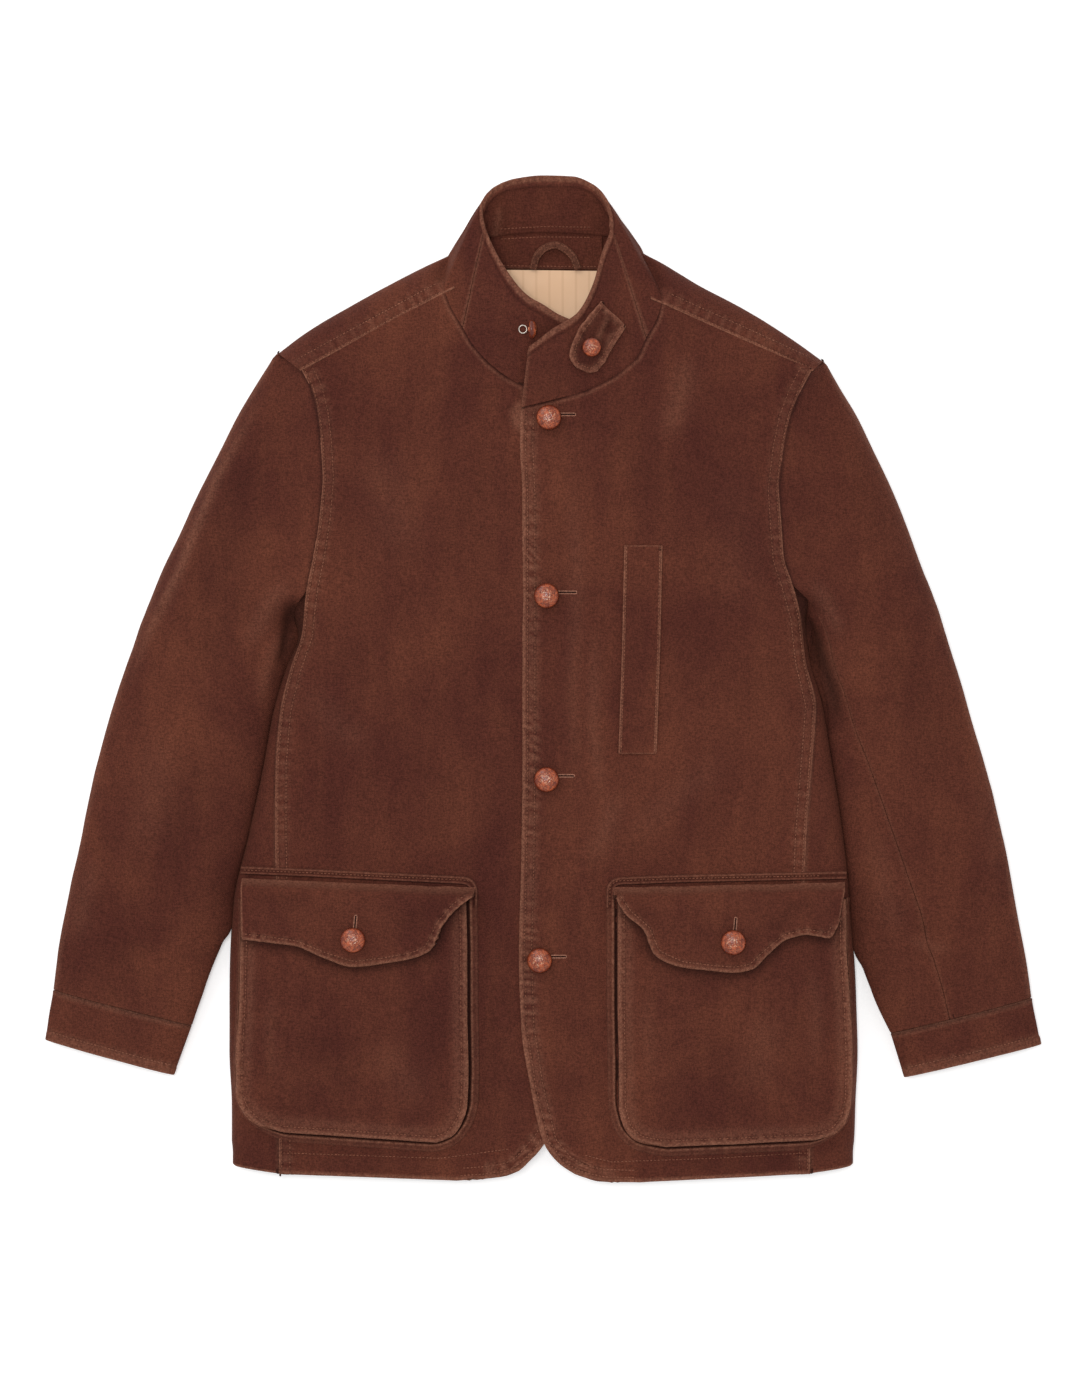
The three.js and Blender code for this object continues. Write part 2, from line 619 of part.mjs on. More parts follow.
// Height of the collar's outer face below a place on the plan
function collarZ(x, y) {
  const spot = new THREE.Vector3(x, y, 0);
  const flat = (p) => new THREE.Vector3(p.x, p.y, 0);
  const [first, last] = x < 0 ? COLLAR_PARTS.collar_right : COLLAR_PARTS.collar_left;
  for (let i = first; i < last; i += 1) {
    for (let j = 0; j < COLLAR_STEPS.length - 1; j += 1) {
      const [a, b, c, d] = [collarGrid[i][j], collarGrid[i + 1][j], collarGrid[i + 1][j + 1], collarGrid[i][j + 1]];
      for (const corners of [[a, b, c], [a, c, d]]) {
        const triangle = new THREE.Triangle(...corners.map(flat));
        const weights = triangle.getBarycoord(spot, new THREE.Vector3());
        if (weights && Math.min(weights.x, weights.y, weights.z) > -0.02) {
          return weights.x * corners[0].z + weights.y * corners[1].z + weights.z * corners[2].z;
        }
      }
    }
  }
  throw new Error(`no collar at ${x}, ${y}`);
}

// Pockets
const puff = (share) => 1.5 * Math.sin(Math.PI * share);

function pocket(side, table, flapTable) {
  const faceZ = (x, y) => panelZ(x, y) + POCKET_DEPTH;
  const shares = evenShares(6);
  const face = panelPatch(table, shares, (x, y, share) => faceZ(x, y) + puff(share));
  add(`pocket_${side}_face`, wallGeometry([face], CLOTH));

  const centre = [mix(table[0].left[0], table[0].right[0], 0.5), table[3].left[1]];
  const bottom = table[table.length - 1];
  const floorEdge = shares.slice(1, -1).map((share) => mix2(bottom.left, bottom.right, share));
  const outline = [
    ...table.map((row) => row.left),
    ...floorEdge,
    ...table.map((row) => row.right).reverse(),
  ];
  const rows = outline.map(([x, y]) => {
    const away = new THREE.Vector2(x - centre[0], y < bottom.left[1] + 30 ? y - centre[1] : 0).normalize();
    const outerSide = Math.abs(x) > 240;
    const spread = outerSide ? 2.5 : 8;
    const place = (reach) => [x + away.x * reach, y + away.y * reach];
    const foot = place(spread);
    const footIn = place(spread - 2.4);
    const head = place(-1);
    const headIn = place(-3.2);
    const under = faceZ(x, y) - CLOTH - REST;
    return {
      outer: [point(...foot, frontZ(...foot) + REST + 1.5), point(...head, under - 0.2)],
      inner: [point(...footIn, frontZ(...footIn) + REST), point(...headIn, under - 0.4)],
    };
  });
  // the gusset's section closes on itself, so it is a ring carried along the outline
  add(`pocket_${side}_gusset`, tubeGeometry(rows.map(({ outer, inner }) => [
    inner[0].at, inner[1].at, outer[1].at, outer[0].at,
  ])));

  const flapShares = [0, 0.1, 0.22, 0.5, 0.8, 1];
  const flap = flapTable.map(({ seam, free }, column) => flapShares.map((share) => {
    const [x, y] = mix2(seam, free, share);
    const length = Math.hypot(free[0] - seam[0], free[1] - seam[1]);
    const lifted = smooth((length * share) / 9);
    const inwards = side === 'right' ? column / (flapTable.length - 1) : 1 - column / (flapTable.length - 1);
    const curl = 4 * share * smooth((inwards - 0.62) / 0.3);
    return point(x, y, panelZ(x, y) + FLAP_SEAT + lifted * FLAP_RISE + curl, true);
  }));
  add(`flap_${side}`, wallGeometry([{ rows: flap, flip: true }], CLOTH));
}

// A solid bar with a four-cornered section at each station
function tubeGeometry(stations) {
  const corners = stations[0].length;
  const faces = [];
  for (let i = 0; i < stations.length - 1; i += 1) {
    for (let j = 0; j < corners; j += 1) {
      const a = i * corners + j;
      const b = i * corners + ((j + 1) % corners);
      faces.push(a, b, b + corners, a, b + corners, a + corners);
    }
  }
  const end = (stations.length - 1) * corners;
  for (let j = 1; j < corners - 1; j += 1) {
    faces.push(0, j + 1, j, end, end + j, end + j + 1);
  }
  const geometry = new THREE.BufferGeometry();
  const positions = stations.flat().flatMap((v) => [v.x, v.y, v.z]);
  geometry.setAttribute('position', new THREE.Float32BufferAttribute(positions, 3));
  geometry.setIndex(faces);
  return geometry;
}

function chestWelt() {
  const height = (x, y) => frontZ(x, y) + REST + CLOTH;
  add('chest_welt', wallGeometry([panelPatch(CHEST_WELT, evenShares(3), height)], CLOTH));
}

function collarTab() {
  const height = (x, y) => collarZ(x, y) + REST + CLOTH;
  add('collar_tab', wallGeometry([panelPatch(TAB, evenShares(3), height)], CLOTH));
}

// Inside of the neck
function neckInside() {
  const level = () => CLOTH + REST + THIN;
  add('neck_facing', wallGeometry([panelPatch(NECK_FACING, evenShares(4), level)], THIN));
  add('lining', wallGeometry([panelPatch(LINING, evenShares(4), level)], THIN), CREAM, 0.6);
  const seat = CLOTH + REST + THIN + REST;
  const stations = LOOP.map(([x, y], i) => {
    const before = LOOP[Math.max(i - 1, 0)];
    const after = LOOP[Math.min(i + 1, LOOP.length - 1)];
    const across = new THREE.Vector2(before[1] - after[1], after[0] - before[0]).setLength(LOOP_WIDTH / 2);
    const low = seat + LOOP_RISE * Math.sin((Math.PI * i) / (LOOP.length - 1));
    return [
      new THREE.Vector3(x + across.x, y + across.y, low),
      new THREE.Vector3(x + across.x, y + across.y, low + CLOTH),
      new THREE.Vector3(x - across.x, y - across.y, low + CLOTH),
      new THREE.Vector3(x - across.x, y - across.y, low),
    ];
  });
  add('hanger_loop', tubeGeometry(stations));
}

// Domed buttons on a short shank
function buttonGeometry(radius) {
  const profile = [[0, 0], [0.25, 0], [0.25, 0.14], [0.9, 0.17], [1, 0.33], [0.9, 0.58], [0.55, 0.8], [0, 0.9]];
  const points = profile.map(([r, z]) => new THREE.Vector2(r * radius, z * radius));
  return new THREE.LatheGeometry(points, 12).rotateX(Math.PI / 2);
}

function placeButton(name, x, y, surface, lift) {
  const step = 2;
  const slopeX = (surface(x + step, y) - surface(x - step, y)) / (2 * step);
  const slopeY = (surface(x, y + step) - surface(x, y - step)) / (2 * step);
  const normal = new THREE.Vector3(-slopeX, -slopeY, 1).normalize();
  const button = add(name, buttonGeometry(BUTTON_R), CHESTNUT, 0.4);
  button.position.set(x, y, surface(x, y) + lift);
  button.quaternion.setFromUnitVectors(new THREE.Vector3(0, 0, 1), normal);
}

function buttons() {
  FRONT_BUTTONS.forEach(([x, y], i) => placeButton(`button_front_${i + 1}`, x, y, frontZ, 2 * REST));
  for (const [name, [x, y]] of Object.entries(FLAP_BUTTONS)) {
    placeButton(name, x, y, panelZ, FLAP_SEAT + FLAP_RISE + REST);
  }
  placeButton('button_tab', ...TAB_BUTTON, collarZ, CLOTH + 3 * REST);
  const [x, y] = EDGE_BUTTON;
  const height = collarZ(x, y) + COLLAR_BUTTON_R + 2 * REST;
  const edgeButton = add('button_collar', buttonGeometry(COLLAR_BUTTON_R), CHESTNUT, 0.4);
  edgeButton.position.set(x - 3, y, height);
  edgeButton.rotation.y = Math.PI / 2;
  const ring = add('button_collar_shank', new THREE.TorusGeometry(3.4, 0.7, 6, 14), STEEL, 0.35, 1);
  ring.position.set(x - 3 - 3.4 - 0.7 - REST, y, height);
}

frontRight();
frontLeft();
sidePanel('side_right', BODY_RIGHT);
sidePanel('side_left', BODY_LEFT);
back();
sleevePair('right', sleeveSections(SLEEVE_RIGHT, BODY_RIGHT, SHOULDER_RIGHT, -1));
sleevePair('left', sleeveSections(SLEEVE_LEFT, BODY_LEFT, SHOULDER_LEFT, 1));
cuff('right', CUFF_RIGHT);
cuff('left', CUFF_LEFT);
collar();
pocket('right', POCKET_RIGHT, FLAP_RIGHT);
pocket('left', POCKET_LEFT, FLAP_LEFT);
chestWelt();
collarTab();
neckInside();
buttons();

export default jacket;
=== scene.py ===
"""Utility jacket laid flat: cloth, seams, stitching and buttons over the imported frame.

Tables and heights are in millimetres and follow those of the CAD source. Meshes are in metres.
Negative x is the wearer's right side.
"""

import math

import bpy
import numpy as np
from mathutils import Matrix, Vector
from mathutils.bvhtree import BVHTree


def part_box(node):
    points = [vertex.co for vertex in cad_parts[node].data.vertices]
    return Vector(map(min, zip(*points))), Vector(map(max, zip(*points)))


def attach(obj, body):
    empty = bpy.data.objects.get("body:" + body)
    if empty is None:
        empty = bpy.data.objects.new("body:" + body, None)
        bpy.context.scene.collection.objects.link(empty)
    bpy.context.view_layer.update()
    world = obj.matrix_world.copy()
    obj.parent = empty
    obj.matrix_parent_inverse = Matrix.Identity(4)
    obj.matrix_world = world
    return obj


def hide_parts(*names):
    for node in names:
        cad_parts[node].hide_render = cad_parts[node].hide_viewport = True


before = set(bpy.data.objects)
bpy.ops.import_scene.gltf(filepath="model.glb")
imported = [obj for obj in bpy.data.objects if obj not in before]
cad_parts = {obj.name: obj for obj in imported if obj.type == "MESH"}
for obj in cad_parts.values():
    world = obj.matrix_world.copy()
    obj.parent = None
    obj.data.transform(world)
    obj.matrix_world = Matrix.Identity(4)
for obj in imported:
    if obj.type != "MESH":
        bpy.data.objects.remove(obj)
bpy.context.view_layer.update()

MM = 0.001
CLOTH = 2.0
EDGE_Z = 12.0  # height of the outline above the floor
CROWN_DEPTH = 50.0  # how far in the body reaches its full height
ROLL = 14.0  # how far the underside rolls in
UNDER_SEAM = 26.0  # how far in the side panels end below
SLOPE = 0.86  # share of a gap along y that counts across the slanting shoulder
LAP_UP = 1.3  # rise of the left front over the right one
LAP_DOWN = 1.4  # dip of the right front below the left one
FLOOR_GAP = 0.1  # clear below the lowest cloth
TUCK = 0.9  # how far one edge goes under the next at a seam
POCKET_DEPTH = 12.0
FLAP_RISE = 15.0
FLAP_SEAT = 4.2
FULLNESS = 2.4  # roundness of a sleeve's section
SEAM_ROLL = 1.2  # radius of an edge that turns down at a seam
LOOK_DOWN = 90.0  # height above everything, where a look straight down starts
BUTTON_R = 10.9
TAB_BUTTON_R = 8.2
COLLAR_BUTTON_R = 8.0
GRID = 3.2  # spacing of the cloth's mesh
FINE = 1.5  # spacing beside edges, where seams pucker
EDGE_BAND = 14.0  # width of that fine strip

CROWN = [(-442, 28), (-400, 30), (-150, 35), (50, 40), (200, 43), (460, 43)]
# Both fronts: edge x, y, seam x, y and, below the armpit, outline x, y
BODY_RIGHT = [
    (-86, 338, -211, 270),
    (-80, 323, -202, 252),
    (-70, 306, -197, 232),
    (-62, 292, -194, 207),
    (-48, 276, -192, 174),
    (-33, 264, -195, 140),
    (-16, 255, -200, 108),
    (-14, 229, -206, 79),
    (16, 200, -211, 38, -215, 38),
    (19, 156, -221, 9, -226, 9),
    (19, 104, -230, -28, -237, -28),
    (19, 34, -234, -77, -246, -77),
    (19, -76, -234, -141, -260, -141),
    (19, -159, -233, -194, -272, -194),
    (19, -241, -232, -264, -276, -264),
    (19, -304, -231, -325, -276, -325),
    (19, -357, -231, -378, -274, -378),
    (11, -391, -231, -408, -274, -406),
    (1, -408, -231, -421, -273, -415),
    (-13, -424, -231, -428, -273, -421),
    (-22, -431.5, -231, -430, -273, -423.5),
    (-34, -436, -231, -431.5, -273, -425),
    (-52, -438.5, -231, -433, -273, -426.5),
    (-76, -440, -231, -434, -273, -428),
]
BODY_LEFT = [
    (103, 329, 235, 270),
    (99, 313, 224, 249),
    (90, 297, 215, 225),
    (82, 280, 210, 199),
    (63, 264, 206, 165),
    (38, 251, 208, 132),
    (10, 243, 210, 105),
    (-19, 236, 217, 84),
    (-20, 203, 226, 53, 231, 53),
    (-18, 160, 230, 16, 235, 16),
    (-18, 104, 239, -23, 246, -23),
    (-18, 34, 235, -76, 255, -76),
    (-18, -76, 230, -141, 265, -141),
    (-19, -159, 228, -194, 270, -194),
    (-21, -241, 229, -264, 275, -264),
    (-19, -304, 231, -325, 277, -325),
    (-11, -357, 233, -378, 275, -378),
    (1, -407, 234, -408, 274, -406),
    (16, -426, 234, -421, 273, -415),
    (25, -432, 234, -424.5, 273, -418),
    (35, -436.5, 234, -428, 273, -421),
    (52, -440.5, 234, -431.5, 273, -425),
    (85, -441.5, 234, -434, 273, -428),
]
# Both shoulders: distance x from the middle, y
SHOULDER_RIGHT = [
    (233, 286),
    (209, 304),
    (174, 325),
    (136, 346),
    (86, 371),
]
SHOULDER_LEFT = [
    (246, 279),
    (211, 304),
    (177, 325),
    (137, 346),
    (91, 373),
]
# Both sleeves: outer x, y, crown and, below the armpit, inner x, y, seam share
SLEEVE_RIGHT = [
    (-238, 281, 20),
    (-252, 259, 28),
    (-269, 230, 34),
    (-285, 198, 37),
    (-304, 161, 39),
    (-320, 126, 39),
    (-335, 95, 38),
    (-348, 63, 37),
    (-354, 48, 36),
    (-361, 27, 35, -218, 36, -0.12),
    (-374, -10, 34, -233, -10, -0.12),
    (-386, -50, 33, -242, -52, -0.12),
    (-399, -103, 32, -254, -111, -0.12),
    (-407, -143, 31, -265, -161, -0.12),
    (-418, -194, 29, -277, -218, -0.12),
    (-426, -235, 27, -293, -259, -0.12),
    (-431, -274, 25, -309, -305, -0.12),
]
SLEEVE_LEFT = [
    (250, 275, 20),
    (262, 254, 28),
    (276, 231, 34),
    (290, 202, 37),
    (306, 168, 39),
    (320, 133, 39),
    (332, 100, 38),
    (341, 78, 37),
    (347, 62, 36),
    (355, 36, 35, 234, 48, 0.12),
    (368, -4, 34, 240, -1, 0.16),
    (377, -36, 33, 250, -30, 0.17),
    (388, -73, 32, 256, -74, 0.23),
    (400, -122, 31, 265, -131, 0.3),
    (408, -157, 30, 270, -167, 0.35),
    (419, -215, 28, 276, -234, 0.43),
    (426, -252, 27, 290, -277, 0.43),
    (430, -281, 25, 306, -312, 0.41),
]
# Both cuffs: outer x, y, inner x, y, crown
CUFF_RIGHT = [
    (-431, -274, -309, -305, 25),
    (-438, -318, -325, -349, 22),
]
CUFF_LEFT = [
    (430, -281, 306, -312, 25),
    (438, -322, 318, -351, 22),
]
# Seam x, y, z where it leaves the body, and rim x, y, z
COLLAR = [
    (2, 251, 38, 28, 309, 44),
    (-16, 255, 40, 13, 315, 46),
    (-33, 264, 0, 323, 48),
    (-48, 276, -15, 332, 48),
    (-62, 292, -37, 361, 43),
    (-70, 306, -51, 392, 36),
    (-80, 323, -54, 405, 31),
    (-86, 338, -54, 414, 28),
    (-86, 364, 13, -51, 422, 24),
    (-77, 382, 2, -43, 431, 19),
    (-50, 391, 0, -26, 438, 15),
    (0, 395, 0, 0, 441, 12),
    (50, 393, 0, 28, 440, 14),
    (84, 384, 2, 45, 433, 18),
    (92, 364, 13, 54, 423, 23),
    (103, 329, 58, 412, 28),
    (99, 313, 60, 402, 32),
    (90, 297, 60, 392, 36),
    (82, 280, 53, 371, 42),
    (63, 264, 46, 345, 49),
    (38, 251, 31, 316, 54),
    (10, 243, 45.5, 8, 301, 55),
    (-19, 236, 45.5, -13, 286, 51),
]
# Flat pieces: left x, y, right x, y
POCKET_RIGHT = [
    (-262, -193, -67, -194),
    (-264, -233, -66, -238),
    (-265, -281, -66, -286),
    (-268, -338, -65, -343),
    (-268, -362, -66, -372),
    (-262, -378, -70, -386),
    (-250, -389, -79, -399),
    (-226, -396, -93, -405),
]
POCKET_LEFT = [
    (65, -193, 264, -192),
    (65, -238, 265, -238),
    (65, -282, 268, -284),
    (66, -334, 270, -334),
    (66, -372, 269, -368),
    (71, -392, 265, -385),
    (83, -404, 255, -397),
    (107, -409, 238, -403),
]
# Both flaps: seam x, y, free edge x, y
FLAP_RIGHT = [
    (-263, -174, -262, -227),
    (-238, -175, -237, -230),
    (-215, -176, -215, -233),
    (-191, -177, -191, -243),
    (-167, -178, -165, -251),
    (-140, -179, -138, -248),
    (-114, -180, -112, -243),
    (-98, -181, -98, -236),
    (-84, -181, -87, -214),
    (-71, -182, -75, -200),
    (-59, -182, -60, -189),
]
FLAP_LEFT = [
    (61, -182, 62, -190),
    (73, -182, 72, -205),
    (86, -182, 88, -219),
    (98, -181, 97, -240),
    (121, -181, 120, -251),
    (143, -180, 143, -254),
    (165, -180, 166, -256),
    (182, -179, 182, -253),
    (197, -179, 196, -240),
    (213, -179, 212, -227),
    (231, -178, 229, -223),
    (249, -178, 249, -226),
    (264, -177, 257, -214),
]
# Flat pieces: left x, y, right x, y
TAB = [
    (50, 328, 73, 306),
    (41, 316, 66, 296),
    (31, 303, 59, 284),
    (25, 290, 53, 274),
    (23, 279, 47, 267),
    (28, 270, 40, 265),
]
CHEST_WELT = [
    (71, 116, 104, 116),
    (69, 25, 102, 25),
    (66, -66, 99, -66),
]
NECK_FACING = [
    (-46, 396, 52, 398),
    (-46, 362, 52, 361),
]
LINING = [
    (-46, 361, 52, 360),
    (-40, 306, 46, 306),
]
LOOP = [(-9, 361), (-6, 371), (1, 379), (11, 382), (20, 378), (27, 371), (31, 361)]
FRONT_BUTTONS = [(5, 227), (3, 72), (3, -88), (-3, -246)]
FLAP_BUTTONS = {"button_flap_right": (-165, -227), "button_flap_left": (165, -229)}
TAB_BUTTON = (42, 288)
ARMPIT_ROW = 8
BACK_SLEEVE_SEAM = 1.5


# Curves and heights

def mix(a, b, t):
    return a + (b - a) * t


def smooth(t):
    t = np.clip(t, 0, 1)
    return t * t * (3 - 2 * t)


def peak(gap, width, at=0.0):
    """A soft rise to 1 where a distance comes near a value."""
    return np.exp(-((gap - at) / width) ** 2)


def through(keys, values, at):
    """Smooth curve through rows of values that never swings past a row beside it."""
    keys = np.asarray(keys, float)
    values = np.asarray(values, float)
    step = np.diff(keys)[:, None]
    rate = np.diff(values, axis=0) / step
    weight_a = 2 * step[1:] + step[:-1]
    weight_b = step[1:] + 2 * step[:-1]
    same = rate[:-1] * rate[1:] > 0
    safe_a = np.where(same, rate[:-1], 1)
    safe_b = np.where(same, rate[1:], 1)
    middle = np.where(same, (weight_a + weight_b) / (weight_a / safe_a + weight_b / safe_b), 0)
    slopes = np.vstack([rate[:1], middle, rate[-1:]])
    i = np.clip(np.searchsorted(keys, at, side="right") - 1, 0, len(keys) - 2)
    t = ((at - keys[i]) / step[i, 0])[:, None]
    low, high = values[i], values[i + 1]
    bend = step[i] * t * (1 - t) * (slopes[i] * (1 - t) - slopes[i + 1] * t)
    return low * (1 + 2 * t) * (1 - t) ** 2 + high * t * t * (3 - 2 * t) + bend


def lengths(table, dims=2):
    """Distance along a table's rows, averaged over its columns of points."""
    points = table.reshape(len(table), -1, dims)
    steps = np.linalg.norm(np.diff(points, axis=0), axis=2).mean(axis=1)
    return np.concatenate([[0], np.cumsum(steps)])


def stations(length, spacing=GRID, fine_low=True, fine_high=True):
    """Places along a length, closer together beside its ends."""
    low = EDGE_BAND if fine_low else 0
    high = EDGE_BAND if fine_high else 0
    if low + high > 0.8 * length:
        return np.linspace(0, length, max(int(length / FINE), 6) + 1)
    parts = []
    if low:
        parts.append(np.arange(0, low, FINE))
    middle = length - low - high
    parts.append(np.linspace(low, length - high, max(int(middle / spacing), 2) + 1))
    if high:
        parts.append(length - np.arange(0, high, FINE)[::-1])
    return np.concatenate(parts)


def refine(table, spacing=GRID, dims=2, fine_low=True, fine_high=True, measured=None):
    """A table's rows at an even spacing."""
    table = np.asarray(table, float)
    keys = lengths(table if measured is None else table[:, :measured], dims)
    return through(keys, table, stations(keys[-1], spacing, fine_low, fine_high))


def dense(pairs, step=4.0):
    """A lookup table as two long columns for np.interp."""
    pairs = np.asarray(sorted(pairs), float)
    at = np.arange(pairs[0, 0], pairs[-1, 0] + step, step)
    at[-1] = pairs[-1, 0]
    return at, through(pairs[:, 0], pairs[:, 1:], at)[:, 0]


def side_table(body):
    rows = [(row[5], abs(row[4])) for row in body[ARMPIT_ROW:]]
    y, x = rows[0]
    return dense(rows + [(y + 40, x + 32), (y + 95, 300), (400, 330)])


SIDES = {-1: side_table(BODY_RIGHT), 1: side_table(BODY_LEFT)}
SHOULDERS = {
    -1: dense(SHOULDER_RIGHT + [(0, 412), (300, 238)]),
    1: dense(SHOULDER_LEFT + [(0, 412), (300, 238)]),
}
CROWNS = dense(CROWN)


def side_x(x, y):
    return np.where(x < 0, np.interp(y, *SIDES[-1]), np.interp(y, *SIDES[1]))


def shoulder_y(x):
    reach = np.abs(x)
    return np.where(x < 0, np.interp(reach, *SHOULDERS[-1]), np.interp(reach, *SHOULDERS[1]))


def rise(gap):
    return np.sqrt(1 - (1 - np.clip(gap / CROWN_DEPTH, 0, 1)) ** 4)


def top_z(x, y):
    """Upper surface of the laid body."""
    x, y = np.asarray(x, float), np.asarray(y, float)
    over = rise(side_x(x, y) - np.abs(x)) * rise((shoulder_y(x) - y) * SLOPE)
    return mix(EDGE_Z, np.interp(y, *CROWNS), over)


def front_z(x, y):
    x = np.asarray(x, float)
    return top_z(x, y) + np.where(x > -30, LAP_UP * smooth((110 - x) / 50), 0)


def under_lap_z(x, y):
    return top_z(x, y) - LAP_DOWN * smooth((np.asarray(x, float) + 75) / 40)


def panel_z(x, y):
    """The fronts' face, held level over the last stretch to the side."""
    x = np.asarray(x, float)
    limit = side_x(x, y) - 18
    return front_z(np.sign(x) * np.minimum(np.abs(x), limit), y)


# Relief

def from_line(x, y, line):
    """Distance of each place from a polyline, and how far along it the nearest point is."""
    line = np.asarray(line, float)
    best = np.full(np.shape(x), 1e9)
    along = np.zeros(np.shape(x))
    start = 0.0
    for a, b in zip(line[:-1], line[1:]):
        step = b - a
        size = math.hypot(*step)
        t = np.clip(((x - a[0]) * step[0] + (y - a[1]) * step[1]) / size ** 2, 0, 1)
        gap = np.hypot(x - a[0] - t * step[0], y - a[1] - t * step[1])
        near = gap < best
        best = np.where(near, gap, best)
        along = np.where(near, start + t * size, along)
        start += size
    return best, along


def ripple(along, seed, pitch=9.0):
    """Uneven waves along a seam, between -1 and 1."""
    rng = np.random.default_rng(seed)
    total = 0
    for share in (0.72, 0.9, 1.13, 1.5):
        bend = 2.2 * np.sin(along / (pitch * rng.uniform(5, 9)) + rng.uniform(0, 6.3))
        total = total + np.sin(along * 2 * math.pi / (pitch * share) + bend + rng.uniform(0, 6.3))
    swell = 0.6 + 0.4 * np.sin(along / (pitch * rng.uniform(3, 5)) + rng.uniform(0, 6.3))
    return 0.36 * total * swell


def sag(x, y, seed, size=120.0, waves=9):
    """Gentle unevenness of laid cloth, about -1 to 1."""
    rng = np.random.default_rng(seed)
    total = 0
    for _ in range(waves):
        angle = rng.uniform(0, math.pi)
        length = size * rng.uniform(0.45, 1.5)
        phase = rng.uniform(0, 6.3)
        total = total + np.sin((x * math.cos(angle) + y * math.sin(angle)) * 2 * math.pi / length + phase)
    return total / math.sqrt(waves) / 1.4


def fold(x, y, ends, width, height, tail=0.35):
    """One soft ridge, or trough when its height is negative, that fades out towards its ends."""
    gap, along = from_line(x, y, ends)
    size = sum(math.dist(a, b) for a, b in zip(ends[:-1], ends[1:]))
    share = along / size
    fade = smooth(share / tail) * smooth((1 - share) / tail)
    return height * fade * peak(gap, width)


def welt(x, y, line, rows, seed, pucker=0.42, puff=0.6, depth=0.5):
    """Relief of a topstitched seam: a puffed band with a dip at each row of stitches.
    Also gives how worn the cloth is there, and the shade painted into the dips of its stitch rows."""
    gap, along = from_line(x, y, line)
    last = max(rows)
    height = puff * smooth((last + 1.6 - gap) / 2.2)
    for row in rows:
        height = height - depth * peak(gap, 1.2, row)
    band = np.exp(-((gap - 0.6 * last) / (0.75 * last)) ** 4)
    waves = ripple(along, seed)
    worn = 0.8 * peak(gap, 1.5) + 1.4 * pucker * np.clip(waves + 0.4, 0, 1) * band
    ends = smooth(along / 6) * smooth((along.max() - along) / 6)
    # painted shade in the dips of the stitch rows, fading out near the seam's ends
    painted_shade = ends * sum(peak(gap, 0.9, row) for row in rows) * (0.45 - 0.25 * waves)
    return height + pucker * waves * band, np.clip(worn, 0, 1), np.clip(painted_shade, 0, 1)


# Cloth meshes

def unit(v):
    return v / np.maximum(np.linalg.norm(v, axis=-1, keepdims=True), 1e-9)


def normals(points):
    return unit(np.cross(np.gradient(points, axis=0), np.gradient(points, axis=1)))


TURNS = {
    "top": lambda g: g,
    "bottom": lambda g: g[::-1],
    "left": lambda g: g.swapaxes(0, 1),
    "right": lambda g: g.swapaxes(0, 1)[::-1],
}
TURNS_BACK = {**TURNS, "right": lambda g: g[::-1].swapaxes(0, 1)}


